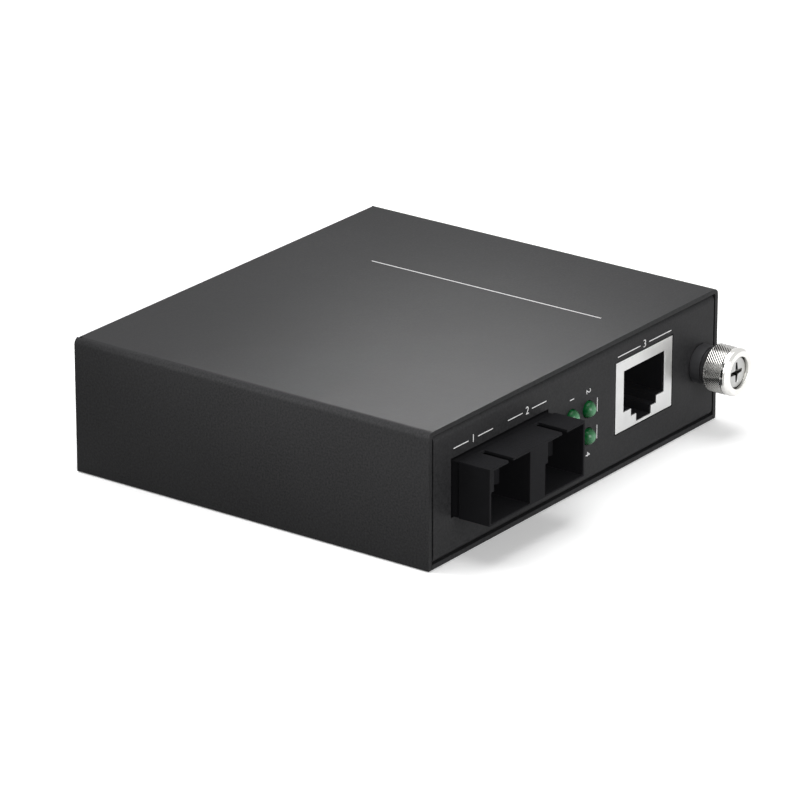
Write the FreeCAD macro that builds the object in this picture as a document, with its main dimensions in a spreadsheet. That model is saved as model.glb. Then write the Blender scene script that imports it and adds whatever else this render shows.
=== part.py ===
"""Slide-in fibre media converter: a folded steel case round one circuit board.

Row frame, millimetres: origin at the centre of the case's underside, +Z up, the front panel
faces -Y and +X runs to the right as one looks at the front panel.
"""
import FreeCAD, Part
import math
import os
from types import SimpleNamespace

import Sketcher
from FreeCAD import Rotation, Vector

doc = FreeCAD.newDocument("MediaConverter")

# ---------------------------------------------------------------- driving dimensions
SIZES = {
    # folded steel case
    "case_width": 81.6,
    "case_depth": 71.0,
    "case_height": 23.2,
    "sheet": 0.8,
    "bend_radius": 1.2,
    "seam": 0.1,
    "panel_flange": 6.0,
    "rear_lip": 5.2,
    "lip_bend": 0.5,
    "relief_slot": 0.4,
    "relief_depth": 0.9,
    "side_flange": 4.0,
    "cutout_gap": 0.2,
    # small screws, for the cover and the board
    "cover_screw_inset": 10.8,
    "cover_screw_drop": 3.2,
    "cover_screw_length": 2.8,
    "small_thread": 2.5,
    "small_head": 4.0,
    "small_head_height": 1.4,
    "thread_slack": 0.05,
    # main board
    "standoff_height": 4.1,
    "standoff_diameter": 5.0,
    "standoff_gap": 2.5,
    "board_thickness": 1.6,
    "board_margin": 0.5,
    "standoff_inset": 2.9,
    "screw_gap": 1.5,
    # copper port: modular jack
    "jack_inset": 21.75,
    "jack_width": 16.4,
    "jack_height": 12.35,
    "jack_depth": 15.9,
    "jack_metal": 0.3,
    "shield_leg_width": 1.6,
    "shield_leg_setback": 8.7,
    "plug_width": 11.84,
    "plug_height": 7.14,
    "plug_depth": 12.5,
    "plug_sill": 3.2,
    "insert_web": 1.0,
    "latch_step_width": 7.4,
    "latch_step_sill": 1.9,
    "latch_slot_width": 4.3,
    "latch_slot_sill": 0.5,
    "contact_pitch": 1.02,
    "contact_width": 0.45,
    "contact_thickness": 0.3,
    "contact_slack": 0.07,
    "contact_knee": 2.0,
    "contact_reach": 7.8,
    "contact_drop": 3.3,
    "contact_slot_start": 1.0,
    # fibre port: duplex receptacle of the optical transceiver
    "optic_inset": 19.15,
    "optic_width": 26.1,
    "optic_height": 9.6,
    "optic_lift": 0.8,
    "optic_overhang": 7.26,
    "optic_moulding": 20.3,
    "optic_length": 39.6,
    "port_pitch": 14.7,
    "port_width": 10.5,
    "port_height": 8.75,
    "port_depth": 12.76,
    "port_floor": 0.35,
    "port_rib": 0.7,
    "port_shoulder": 5.3,
    "key_slot": 1.3,
    "key_slot_web": 0.4,
    "neck_length": 1.3,
    "neck_relief": 0.2,
    "foot_width": 5.6,
    "foot_inset": 5.6,
    "foot_setback": 5.6,
    "foot_post": 1.9,
    "foot_post_length": 2.4,
    "latch_arm": 0.85,
    "latch_arm_height": 3.7,
    "latch_hook": 0.7,
    "latch_tip": 2.0,
    "latch_plate": 1.05,
    "latch_plate_height": 7.4,
    "latch_slip": 0.2,
    "ferrule_bore": 2.54,
    "sleeve_diameter": 3.4,
    "sleeve_length": 6.38,
    "sleeve_bore_end": 0.7,
    "can_diameter": 5.6,
    "can_tail": 2.1,
    "lid_wall": 0.7,
    "small_board_thickness": 0.8,
    "small_board_inset": 1.05,
    "small_board_setback": 4.9,
    "small_board_level": 0.7,
    "optic_pin": 0.5,
    "optic_pin_length": 3.9,
    "optic_pin_setback": 2.5,
    "pin_pitch": 2.54,
    # indicator lamps
    "led_diameter": 2.8,
    "led_pitch": 4.7,
    "led_offset": 0.5,
    "led_rise": 2.3,
    "led_dome": 1.35,
    "led_length": 3.95,
    "holder_wall": 0.85,
    "holder_web": 0.8,
    "lead_wire": 0.4,
    "lead_bend": 1.6,
    # captive thumbscrew
    "screw_inset": 5.2,
    "screw_level": 11.4,
    "screw_thread": 3.0,
    "screw_waist": 2.6,
    "screw_tail": 2.0,
    "screw_land": 0.8,
    "screw_tip": 0.4,
    "screw_head": 5.4,
    "head_drop": 0.55,
    "cross_reach": 1.45,
    "cross_width": 0.44,
    "cross_depth": 0.9,
    "collar_diameter": 6.65,
    "collar_length": 3.7,
    "collar_web": 0.6,
    "collar_spigot": 5.45,
    "knob_diameter": 8.2,
    "knob_length": 4.94,
    "knob_standoff": 2.93,
    "knob_web": 0.4,
    "knob_counterbore": 1.1,
    "knob_chamfer": 0.35,
    "knob_slip": 0.15,
    "clip_diameter": 6.0,
    "clip_bore": 2.4,
    "clip_mouth": 2.16,
    "clip_thickness": 0.6,
    "running_slack": 0.06,
    "spring_wire": 0.4,
    "spring_mean": 4.3,
    "spring_bore": 5.5,
    "spring_turns": 3.0,
    # rear connectors
    "power_inset": 16.8,
    "power_width": 9.0,
    "power_height": 11.0,
    "power_depth": 14.2,
    "power_axis": 6.38,
    "power_bore": 6.4,
    "power_bore_depth": 11.0,
    "power_pin": 2.0,
    "power_pin_recess": 0.8,
    "link_offset": 8.0,
    "link_width": 20.0,
    "link_height": 8.8,
    "link_depth": 9.0,
    "link_wall": 0.8,
    "link_floor": 2.54,
    "link_pin": 0.64,
    "link_pin_tail": 2.54,
    "link_pin_recess": 2.54,
    # chips on the board
    "chip_gap": 2.2,
    "transformer_width": 12.7,
    "transformer_depth": 9.5,
    "transformer_height": 5.7,
    "switch_width": 14.0,
    "switch_height": 1.4,
    "management_width": 10.0,
    "management_height": 1.4,
    "management_inset": 13.0,
    "memory_width": 5.2,
    "memory_depth": 5.0,
    "memory_height": 1.8,
    "memory_gap": 0.9,
    "crystal_width": 11.0,
    "crystal_depth": 4.6,
    "crystal_height": 3.5,
    "regulator_width": 6.6,
    "regulator_depth": 6.2,
    "regulator_height": 2.3,
    "regulator_gap": 5.4,
    "inductor_width": 7.0,
    "inductor_height": 3.6,
    "inductor_gap": 4.5,
    "capacitor_width": 6.0,
    "capacitor_depth": 7.3,
    "capacitor_height": 2.9,
    "capacitor_gap": 1.5,
}
CONTACT_COUNT = 8
OPTIC_PIN_COUNT = 9
LINK_COLUMNS = 5
DOME_STEPS = 2
# How far a cut runs on past the face that it opens.
CLEAR = 1.0


class Size:
    """A length that carries its spreadsheet expression, so sums and shares stay bound to the cells."""

    def __init__(self, value, text):
        self.value = value
        self.text = text

    def __add__(self, other):
        other = as_size(other)
        return Size(self.value + other.value, f"({self.text} + {other.text})")

    def __sub__(self, other):
        other = as_size(other)
        return Size(self.value - other.value, f"({self.text} - {other.text})")

    def __rsub__(self, other):
        return as_size(other) - self

    def __mul__(self, factor):
        factor = as_size(factor)
        return Size(self.value * factor.value, f"({self.text} * {factor.text})")

    def __truediv__(self, factor):
        factor = as_size(factor)
        return Size(self.value / factor.value, f"({self.text} / {factor.text})")

    def __neg__(self):
        return Size(-self.value, f"(0 - {self.text})")

    __radd__ = __add__
    __rmul__ = __mul__


def as_size(number):
    """Give a plain number the same form as a size from the sheet."""
    return number if isinstance(number, Size) else Size(float(number), f"{float(number):.4f}")


def fill_sheet():
    """Write every driving dimension as one named row and return them by name."""
    sheet = doc.addObject("Spreadsheet::Sheet", "Sizes")
    for row, (alias, number) in enumerate(SIZES.items(), start=1):
        sheet.set(f"A{row}", alias)
        sheet.set(f"B{row}", str(number))
        sheet.setAlias(f"B{row}", alias)
    doc.recompute()
    return SimpleNamespace(**{name: Size(sheet.get(name), f"Sizes.{name}") for name in SIZES})


s = fill_sheet()

# ---------------------------------------------------------------- shared faces and levels
FRONT = -s.case_depth / 2
REAR = s.case_depth / 2
RIGHT = s.case_width / 2
LEFT = -RIGHT
TOP = s.case_height
FLOOR = s.sheet
CEILING = TOP - s.sheet
WALL = RIGHT - s.sheet
INNER_BEND = s.bend_radius - s.sheet
BASE_EDGE = WALL - s.seam
FLANGE_INSIDE = BASE_EDGE - s.sheet
PANEL_BACK = FRONT + s.sheet
PANEL_FLANGE = FRONT + s.panel_flange
REAR_PANEL = REAR - s.sheet
REAR_INSIDE = REAR_PANEL - s.sheet
COVER_SCREWS = (LEFT + s.cover_screw_inset, RIGHT - s.cover_screw_inset)
COVER_SCREW_LEVEL = TOP - s.cover_screw_drop
SCREW_X = RIGHT - s.screw_inset

BOARD_UNDER = FLOOR + s.standoff_height
BOARD_TOP = BOARD_UNDER + s.board_thickness
BOARD_LEFT = -FLANGE_INSIDE + s.board_margin
BOARD_RIGHT = SCREW_X - s.screw_thread / 2 - s.screw_gap
BOARD_FRONT = PANEL_BACK + s.board_margin
BOARD_REAR = REAR_INSIDE - s.board_margin
STANDOFFS = (
    (BOARD_LEFT + s.standoff_inset, BOARD_REAR - s.standoff_inset),
    (BOARD_RIGHT - s.standoff_inset, BOARD_REAR - s.standoff_inset),
    (BOARD_RIGHT - s.standoff_inset, PANEL_FLANGE + s.standoff_gap + s.standoff_diameter / 2),
)

JACK_X = RIGHT - s.jack_inset
JACK_LEFT = JACK_X - s.jack_width / 2
JACK_RIGHT = JACK_X + s.jack_width / 2
JACK_TOP = BOARD_TOP + s.jack_height
JACK_BACK = FRONT + s.jack_depth
SHIELD_LEG = FRONT + s.shield_leg_setback
PLUG_FLOOR = BOARD_TOP + s.plug_sill
PLUG_ROOF = PLUG_FLOOR + s.plug_height
CONTACT_LEVEL = PLUG_ROOF + s.contact_thickness * 2
CONTACTS = [JACK_X + s.contact_pitch * (i - (CONTACT_COUNT - 1) / 2) for i in range(CONTACT_COUNT)]

OPTIC_X = LEFT + s.optic_inset
OPTIC_LEFT = OPTIC_X - s.optic_width / 2
OPTIC_RIGHT = OPTIC_X + s.optic_width / 2
OPTIC_UNDER = BOARD_TOP + s.optic_lift
OPTIC_TOP = OPTIC_UNDER + s.optic_height
OPTIC_NOSE = FRONT - s.optic_overhang
OPTIC_SEAT = OPTIC_NOSE + s.port_depth
OPTIC_JOINT = OPTIC_NOSE + s.optic_moulding
OPTIC_END = OPTIC_NOSE + s.optic_length
NECK = FRONT - s.neck_length
PORT_CENTRES = {"left": OPTIC_X - s.port_pitch / 2, "right": OPTIC_X + s.port_pitch / 2}
PORT_LOW = OPTIC_UNDER + s.port_floor
PORT_HIGH = PORT_LOW + s.port_height
PORT_LEVEL = PORT_LOW + s.port_height / 2
FEET = (OPTIC_LEFT + s.foot_inset, OPTIC_RIGHT - s.foot_inset)
FOOT_Y = OPTIC_JOINT - s.foot_setback
SMALL_BOARD_UNDER = OPTIC_UNDER + s.small_board_level
OPTIC_PINS = [OPTIC_X + s.pin_pitch * (i - (OPTIC_PIN_COUNT - 1) / 2) for i in range(OPTIC_PIN_COUNT)]
OPTIC_PIN_Y = OPTIC_END - s.optic_pin_setback

LED_LEVEL = BOARD_TOP + s.led_rise
LED_PLACES = {
    f"{row}_{side}": (s.led_offset + s.led_pitch * across / 2, LED_LEVEL + s.led_pitch * up)
    for row, up in (("upper", 1), ("lower", 0))
    for side, across in (("left", -1), ("right", 1))
}
LED_BACK = FRONT + s.led_length
HOLDER_REAR = LED_BACK + s.holder_web

POWER_X = LEFT + s.power_inset
POWER_LEFT = POWER_X - s.power_width / 2
POWER_RIGHT = POWER_X + s.power_width / 2
POWER_FRONT = REAR_PANEL - s.power_depth
LINK_LEFT = s.link_offset - s.link_width / 2
LINK_RIGHT = s.link_offset + s.link_width / 2
LINK_FRONT = REAR - s.link_depth
LINK_TAIL = LINK_FRONT - s.link_pin_tail

KNOB_BACK = FRONT - s.knob_standoff
KNOB_FACE = KNOB_BACK - s.knob_length
KNOB_ROOF = KNOB_FACE + s.knob_counterbore + s.knob_web
SPRING_SEAT = FRONT - s.collar_web
CLIP_FACE = PANEL_BACK + s.cutout_gap

# ---------------------------------------------------------------- sketch and feature helpers
PARTS = []


def keep(feature, label):
    """Name a finished sub-part and put it on the list of files to write."""
    feature.Label = label
    PARTS.append(feature)
    return feature


def bind(feature, **sizes):
    """Bind properties of a feature to sizes; a dot in a property path is written as two underscores."""
    for path, size in sizes.items():
        feature.setExpression(path.replace("__", "."), as_size(size).text)


def new_body(name):
    """An empty body that may hold several separate solids."""
    body = doc.addObject("PartDesign::Body", name)
    body.AllowCompound = True
    return body


def origin_plane(body, role):
    return next(plane for plane in body.Origin.OriginFeatures if plane.Role == role)


def rect(x0, x1, y0, y1, radius=None):
    """Corner list of an upright rectangle, with one radius for all four corners."""
    return [(x0, y0, radius), (x1, y0, radius), (x1, y1, radius), (x0, y1, radius)]


def square(x, y, half):
    """Corner list of an upright square about its centre."""
    return rect(x - half, x + half, y - half, y + half)


def unit(start, end):
    """Direction of an edge, as plain numbers."""
    dx = as_size(end[0]).value - as_size(start[0]).value
    dy = as_size(end[1]).value - as_size(start[1]).value
    length = math.hypot(dx, dy)
    return dx / length, dy / length


def pin(sketch, geometry, end, point):
    """Fix one end of a line or arc at a place worked out from the sheet."""
    for kind, size in zip(("DistanceX", "DistanceY"), point):
        size = as_size(size)
        index = sketch.addConstraint(Sketcher.Constraint(kind, -1, 1, geometry, end, size.value))
        sketch.setExpression(f"Constraints[{index}]", size.text)


def fixed_line(sketch, start, end):
    """A straight edge; none is drawn where two arcs, or an arc and the axis, already meet."""
    numbers = [Vector(as_size(p[0]).value, as_size(p[1]).value, 0) for p in (start, end)]
    if numbers[0].distanceToPoint(numbers[1]) < 1e-6:
        return
    line = sketch.addGeometry(Part.LineSegment(*numbers))
    pin(sketch, line, 1, start)
    pin(sketch, line, 2, end)


def fixed_arc(sketch, start, end, heading, turn, radius):
    """A tangent arc from start to end: heading is the way in, turn is +1 to the left, -1 to the right."""
    radius = as_size(radius)
    first = Vector(as_size(start[0]).value, as_size(start[1]).value, 0)
    last = Vector(as_size(end[0]).value, as_size(end[1]).value, 0)
    centre = first + Vector(-heading[1], heading[0], 0) * (radius.value * turn)
    begin, finish = (first, last) if turn > 0 else (last, first)
    angles = [math.atan2(p.y - centre.y, p.x - centre.x) for p in (begin, finish)]
    circle = Part.Circle(centre, Vector(0, 0, 1), radius.value)
    arc = sketch.addGeometry(Part.ArcOfCircle(circle, *angles))
    pin(sketch, arc, 1 if turn > 0 else 2, start)
    pin(sketch, arc, 2 if turn > 0 else 1, end)
    index = sketch.addConstraint(Sketcher.Constraint("Radius", arc, radius.value))
    sketch.setExpression(f"Constraints[{index}]", radius.text)


def draw(sketch, corners, closed=True):
    """Draw a path through corners (x, y) or (x, y, radius), rounding each corner that has a radius."""
    count = len(corners)
    entries, exits = [], []
    for i, corner in enumerate(corners):
        inside = closed or 0 < i < count - 1
        radius = corner[2] if len(corner) > 2 and inside else None
        if radius is None:
            entries.append(corner[:2])
            exits.append(corner[:2])
            continue
        way_in = unit(corners[i - 1], corner)
        way_out = unit(corner, corners[(i + 1) % count])
        turn = math.atan2(
            way_in[0] * way_out[1] - way_in[1] * way_out[0],
            way_in[0] * way_out[0] + way_in[1] * way_out[1],
        )
        reach = radius * round(math.tan(abs(turn) / 2), 6)
        entry = tuple(corner[k] - reach * round(way_in[k], 6) for k in (0, 1))
        leave = tuple(corner[k] + reach * round(way_out[k], 6) for k in (0, 1))
        fixed_arc(sketch, entry, leave, way_in, math.copysign(1, turn), radius)
        entries.append(entry)
        exits.append(leave)
    for i in range(count if closed else count - 1):
        fixed_line(sketch, exits[i], entries[(i + 1) % count])


def draw_circle(sketch, x, y, diameter):
    diameter = as_size(diameter)
    centre = Vector(as_size(x).value, as_size(y).value, 0)
    circle = sketch.addGeometry(Part.Circle(centre, Vector(0, 0, 1), diameter.value / 2))
    pin(sketch, circle, 3, (x, y))
    index = sketch.addConstraint(Sketcher.Constraint("Diameter", circle, diameter.value))
    sketch.setExpression(f"Constraints[{index}]", diameter.text)


def new_sketch(body, name, role, offset=0.0):
    """A sketch on one of the body's origin planes, moved along the plane's normal."""
    sketch = body.newObject("Sketcher::SketchObject", name)
    sketch.AttachmentSupport = [(origin_plane(body, role), "")]
    sketch.MapMode = "FlatFace"
    bind(sketch, AttachmentOffset__Base__z=offset)
    return sketch


# The XZ plane's normal is -Y, so a feature that runs along it counts y downwards.
PLANES = {"x": ("YZ_Plane", 1), "y": ("XZ_Plane", -1), "z": ("XY_Plane", 1)}


def extrude(kind, body, name, axis, low, high, loops=(), discs=()):
    """Pad or pocket outlines between two levels of one axis.

    Outlines on axis x are drawn in (y, z), on y in (x, z) and on z in (x, y).
    A pad grows along its plane's normal and a pocket cuts against it.
    """
    role, way = PLANES[axis]
    grows_up = (way > 0) == (kind == "Pad")
    level = as_size(low if grows_up else high) * way
    sketch = new_sketch(body, f"{name}_outline", role, level)
    for loop in loops:
        draw(sketch, loop)
    for disc in discs:
        draw_circle(sketch, *disc)
    feature = body.newObject(f"PartDesign::{kind}", name)
    feature.Profile = sketch
    bind(feature, Length=as_size(high) - low)
    sketch.Visibility = False
    return feature


def pad(*args, **kwargs):
    return extrude("Pad", *args, **kwargs)


def pocket(*args, **kwargs):
    return extrude("Pocket", *args, **kwargs)


def fillet(body, name, radius, pick):
    """Round the edges of the body's tip that `pick` accepts, by their bounding boxes."""
    doc.recompute()
    base = body.Tip
    names = [f"Edge{i}" for i, edge in enumerate(base.Shape.Edges, start=1) if pick(edge)]
    feature = body.newObject("PartDesign::Fillet", name)
    feature.Base = (base, names)
    bind(feature, Radius=radius)
    return feature


def near(value, size):
    return abs(value - as_size(size).value) < 0.01


def along_x(edge):
    """True for a straight edge that runs along X."""
    box = edge.BoundBox
    return box.XLength > 0.5 and box.YLength < 0.01 and box.ZLength < 0.01


def along_y(edge):
    """True for a straight edge that runs along Y."""
    box = edge.BoundBox
    return box.YLength > 0.5 and box.XLength < 0.01 and box.ZLength < 0.01


def turned(label, x, y, z, profile):
    """A body of revolution about an axis along Y through (x, y, z); the profile is (radius, distance)."""
    body = new_body(label)
    sketch = new_sketch(body, f"{label}_profile", "XY_Plane")
    draw(sketch, profile)
    feature = body.newObject("PartDesign::Revolution", f"{label}_turning")
    feature.Profile = sketch
    feature.ReferenceAxis = (sketch, ["V_Axis"])
    feature.Angle = 360
    bind(body, Placement__Base__x=x, Placement__Base__y=y, Placement__Base__z=z)
    return body


def block(name, x0, x1, y0, y1, z0, z1):
    """A plain box between six faces."""
    box = doc.addObject("Part::Box", name)
    bind(box, Length=as_size(x1) - x0, Width=as_size(y1) - y0, Height=as_size(z1) - z0)
    bind(box, Placement__Base__x=x0, Placement__Base__y=y0, Placement__Base__z=z0)
    return box


def cylinder(name, axis, x, y, z, diameter, length):
    """A cylinder that grows from (x, y, z) along +axis."""
    rod = doc.addObject("Part::Cylinder", name)
    turn = {"x": Rotation(Vector(0, 1, 0), 90), "y": Rotation(Vector(1, 0, 0), -90), "z": Rotation()}
    rod.Placement = FreeCAD.Placement(Vector(), turn[axis])
    bind(rod, Radius=as_size(diameter) / 2, Height=length)
    bind(rod, Placement__Base__x=x, Placement__Base__y=y, Placement__Base__z=z)
    return rod


def hexagon(name, x, y, z, width, height):
    """An upright hexagonal post, `width` across its corners."""
    post = doc.addObject("Part::Prism", name)
    post.Polygon = 6
    bind(post, Circumradius=as_size(width) / 2, Height=height)
    bind(post, Placement__Base__x=x, Placement__Base__y=y, Placement__Base__z=z)
    return post


def fuse(name, shapes):
    joined = doc.addObject("Part::MultiFuse", name)
    joined.Shapes = shapes
    return joined


def group(label, shapes):
    """Several separate solids of one kind in one sub-part."""
    compound = doc.addObject("Part::Compound", label)
    compound.Links = shapes
    return keep(compound, label)


# ---------------------------------------------------------------- folded steel case
def build_cover():
    """Top, both side walls and a rear lip, folded from one sheet."""
    body = new_body("cover")
    pad(body, "cover_fold", "y", FRONT, REAR, [[
        (LEFT, 0), (-WALL, 0), (-WALL, CEILING, INNER_BEND), (WALL, CEILING, INNER_BEND),
        (WALL, 0), (RIGHT, 0), (RIGHT, TOP, s.bend_radius), (LEFT, TOP, s.bend_radius),
    ]])
    lip_end = WALL - s.relief_slot
    pad(body, "rear_lip", "y", REAR_PANEL, REAR,
        [rect(-lip_end, lip_end, TOP - s.rear_lip, CEILING)])
    pocket(body, "lip_relief", "z", CEILING - s.bend_radius, TOP + CLEAR, [
        rect(-WALL, -lip_end, REAR - s.relief_depth, REAR + CLEAR),
        rect(lip_end, WALL, REAR - s.relief_depth, REAR + CLEAR),
    ])
    fillet(body, "lip_bend_outside", s.lip_bend, lambda edge: (
        along_x(edge) and near(edge.BoundBox.YMax, REAR) and near(edge.BoundBox.ZMax, TOP)
        and near(edge.BoundBox.XMax, lip_end)))
    pocket(body, "lip_screw_holes", "y", REAR_INSIDE, REAR + CLEAR, discs=[
        (x, COVER_SCREW_LEVEL, s.small_thread + s.cutout_gap) for x in COVER_SCREWS])
    keep(body, "cover")


def build_base():
    """Bottom plate and rear panel in one fold, with two low side flanges inside the cover's walls."""
    body = new_body("base")
    rear_top = CEILING - INNER_BEND - s.seam
    pad(body, "base_fold", "x", -BASE_EDGE, BASE_EDGE, [[
        (FRONT, 0), (REAR_PANEL, 0, s.bend_radius), (REAR_PANEL, rear_top),
        (REAR_INSIDE, rear_top), (REAR_INSIDE, FLOOR, INNER_BEND), (FRONT, FLOOR),
    ]])
    pad(body, "side_flanges", "y", PANEL_FLANGE + s.relief_slot, REAR_PANEL - s.bend_radius - s.relief_slot, [
        rect(-BASE_EDGE, -FLANGE_INSIDE, 0, FLOOR + s.side_flange),
        rect(FLANGE_INSIDE, BASE_EDGE, 0, FLOOR + s.side_flange),
    ])
    fillet(body, "flange_bend_inside", INNER_BEND, lambda edge: (
        along_y(edge) and near(edge.BoundBox.ZMax, FLOOR)
        and near(abs(edge.BoundBox.XMax), FLANGE_INSIDE)))
    gap = s.cutout_gap
    pocket(body, "rear_cutouts", "y", REAR_INSIDE - INNER_BEND, REAR_PANEL + CLEAR, [
        rect(POWER_LEFT - gap, POWER_RIGHT + gap, BOARD_TOP - gap, BOARD_TOP + s.power_height + gap),
        rect(LINK_LEFT - gap, LINK_RIGHT + gap, BOARD_TOP - gap, BOARD_TOP + s.link_height + gap),
    ], [(SCREW_X, s.screw_level, s.screw_thread + gap * 2)] + [
        (x, COVER_SCREW_LEVEL, s.small_thread) for x in COVER_SCREWS])
    keep(body, "base")


def build_front_panel():
    """Folded channel: the face, with a flange turned back at its top and bottom."""
    body = new_body("front_panel")
    edge_x = WALL - INNER_BEND
    under, over = FLOOR + s.sheet, CEILING - s.sheet
    pad(body, "panel_fold", "x", -edge_x, edge_x, [[
        (FRONT, FLOOR, s.bend_radius), (PANEL_FLANGE, FLOOR), (PANEL_FLANGE, under),
        (PANEL_BACK, under, INNER_BEND), (PANEL_BACK, over, INNER_BEND),
        (PANEL_FLANGE, over), (PANEL_FLANGE, CEILING), (FRONT, CEILING, s.bend_radius),
    ]])
    gap = s.cutout_gap
    pocket(body, "port_cutouts", "y", FRONT - CLEAR, PANEL_BACK + INNER_BEND, [
        rect(JACK_LEFT - gap, JACK_RIGHT + gap, BOARD_TOP - gap, JACK_TOP + gap),
        rect(OPTIC_LEFT - gap, OPTIC_RIGHT + gap, OPTIC_UNDER - gap, OPTIC_TOP + gap),
    ], [(SCREW_X, s.screw_level, s.collar_spigot)] + [
        (x, z, s.led_diameter + gap) for x, z in LED_PLACES.values()])
    keep(body, "front_panel")


def build_cover_screws():
    """Two pan-head screws through the rear lip into the rear panel."""
    shank = s.small_thread - s.thread_slack * 2
    start = REAR - s.cover_screw_length
    screws = []
    for i, x in enumerate(COVER_SCREWS):
        screws.append(fuse(f"cover_screw_{i}", [
            cylinder(f"cover_screw_head_{i}", "y", x, REAR, COVER_SCREW_LEVEL,
                     s.small_head, s.small_head_height),
            cylinder(f"cover_screw_shank_{i}", "y", x, start, COVER_SCREW_LEVEL,
                     shank, s.cover_screw_length)]))
    group("cover_screws", screws)


# ---------------------------------------------------------------- main board and its fixings
def build_board():
    """The board and its hexagonal standoffs, each with the stud and nut that clamp the board."""
    group("standoffs", [fuse(f"standoff_{i}", [
        hexagon(f"standoff_post_{i}", x, y, FLOOR, s.standoff_diameter, s.standoff_height),
        cylinder(f"standoff_stud_{i}", "z", x, y, BOARD_UNDER, s.small_thread, s.board_thickness),
        hexagon(f"standoff_nut_{i}", x, y, BOARD_TOP, s.small_head, s.small_head_height),
    ]) for i, (x, y) in enumerate(STANDOFFS)])

    body = new_body("circuit_board")
    pad(body, "board_plate", "z", BOARD_UNDER, BOARD_TOP,
        [rect(BOARD_LEFT, BOARD_RIGHT, BOARD_FRONT, BOARD_REAR)])
    gap = s.cutout_gap
    leg = s.shield_leg_width / 2 + gap
    pin_hole = s.optic_pin / 2 + gap / 2
    post_hole = s.foot_post / 2 + gap / 2
    pocket(body, "board_holes", "z", BOARD_UNDER - CLEAR, BOARD_TOP + CLEAR,
           [rect(x - gap, x + s.jack_metal + gap, SHIELD_LEG - leg, SHIELD_LEG + leg)
            for x in (JACK_LEFT, JACK_RIGHT - s.jack_metal)]
           + [square(x, OPTIC_PIN_Y, pin_hole) for x in OPTIC_PINS]
           + [square(x, FOOT_Y, post_hole) for x in FEET],
           [(x, y, s.small_thread + gap) for x, y in STANDOFFS])
    keep(body, "circuit_board")


# ---------------------------------------------------------------- copper port
def plug_mouth():
    """The plug's outline: body, latch step and latch slot, latch side down."""
    wide, step, slot = s.plug_width / 2, s.latch_step_width / 2, s.latch_slot_width / 2
    step_z = BOARD_TOP + s.latch_step_sill
    slot_z = BOARD_TOP + s.latch_slot_sill
    return [
        (JACK_X - slot, slot_z), (JACK_X + slot, slot_z), (JACK_X + slot, step_z),
        (JACK_X + step, step_z), (JACK_X + step, PLUG_FLOOR), (JACK_X + wide, PLUG_FLOOR),
        (JACK_X + wide, PLUG_ROOF), (JACK_X - wide, PLUG_ROOF), (JACK_X - wide, PLUG_FLOOR),
        (JACK_X - step, PLUG_FLOOR), (JACK_X - step, step_z), (JACK_X - slot, step_z),
    ]


def build_jack():
    """Shielded modular jack: stamped shell, moulded insert and eight sprung contacts."""
    metal = s.jack_metal
    shield = new_body("jack_shield")
    pad(shield, "shield_block", "y", FRONT, JACK_BACK,
        [rect(JACK_LEFT, JACK_RIGHT, BOARD_TOP, JACK_TOP)])
    pocket(shield, "shield_inside", "z", BOARD_TOP - CLEAR, JACK_TOP - metal,
           [rect(JACK_LEFT + metal, JACK_RIGHT - metal, FRONT + metal, JACK_BACK - metal)])
    pocket(shield, "shield_mouth", "y", FRONT - CLEAR, FRONT + metal * 2, [plug_mouth()])
    pad(shield, "shield_legs", "z", BOARD_UNDER - s.board_thickness, BOARD_TOP + metal, [
        rect(x, x + metal, SHIELD_LEG - s.shield_leg_width / 2, SHIELD_LEG + s.shield_leg_width / 2)
        for x in (JACK_LEFT, JACK_RIGHT - metal)])
    keep(shield, "jack_shield")

    insert = new_body("jack_insert")
    inset = metal + s.thread_slack
    insert_back = FRONT + s.plug_depth + s.insert_web
    pad(insert, "insert_block", "y", FRONT + inset, insert_back,
        [rect(JACK_LEFT + inset, JACK_RIGHT - inset, BOARD_TOP, JACK_TOP - inset)])
    pocket(insert, "plug_space", "y", FRONT, FRONT + s.plug_depth, [plug_mouth()])
    half_slot = s.contact_width / 2 + s.contact_slack
    pocket(insert, "contact_slots", "y", FRONT + s.contact_slot_start, insert_back + CLEAR, [
        rect(x - half_slot, x + half_slot, PLUG_ROOF - s.contact_thickness,
             CONTACT_LEVEL + s.contact_thickness) for x in CONTACTS])
    keep(insert, "jack_insert")

    contacts = new_body("jack_contacts")
    upright = insert_back + s.contact_thickness
    knee = FRONT + s.contact_knee
    half = s.contact_thickness / 2
    for i, x in enumerate(CONTACTS):
        spine = new_sketch(contacts, f"contact_path_{i}", "YZ_Plane", x)
        draw(spine, [
            (upright, BOARD_TOP), (upright, CONTACT_LEVEL), (knee, CONTACT_LEVEL),
            (knee + s.contact_reach, CONTACT_LEVEL - s.contact_drop),
        ], closed=False)
        section = new_sketch(contacts, f"contact_section_{i}", "XY_Plane", BOARD_TOP)
        draw(section, rect(x - s.contact_width / 2, x + s.contact_width / 2,
                           upright - half, upright + half))
        wire = contacts.newObject("PartDesign::AdditivePipe", f"contact_{i}")
        wire.Profile = section
        wire.Spine = spine
        wire.Transition = "Right corner"
    keep(contacts, "jack_contacts")


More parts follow.
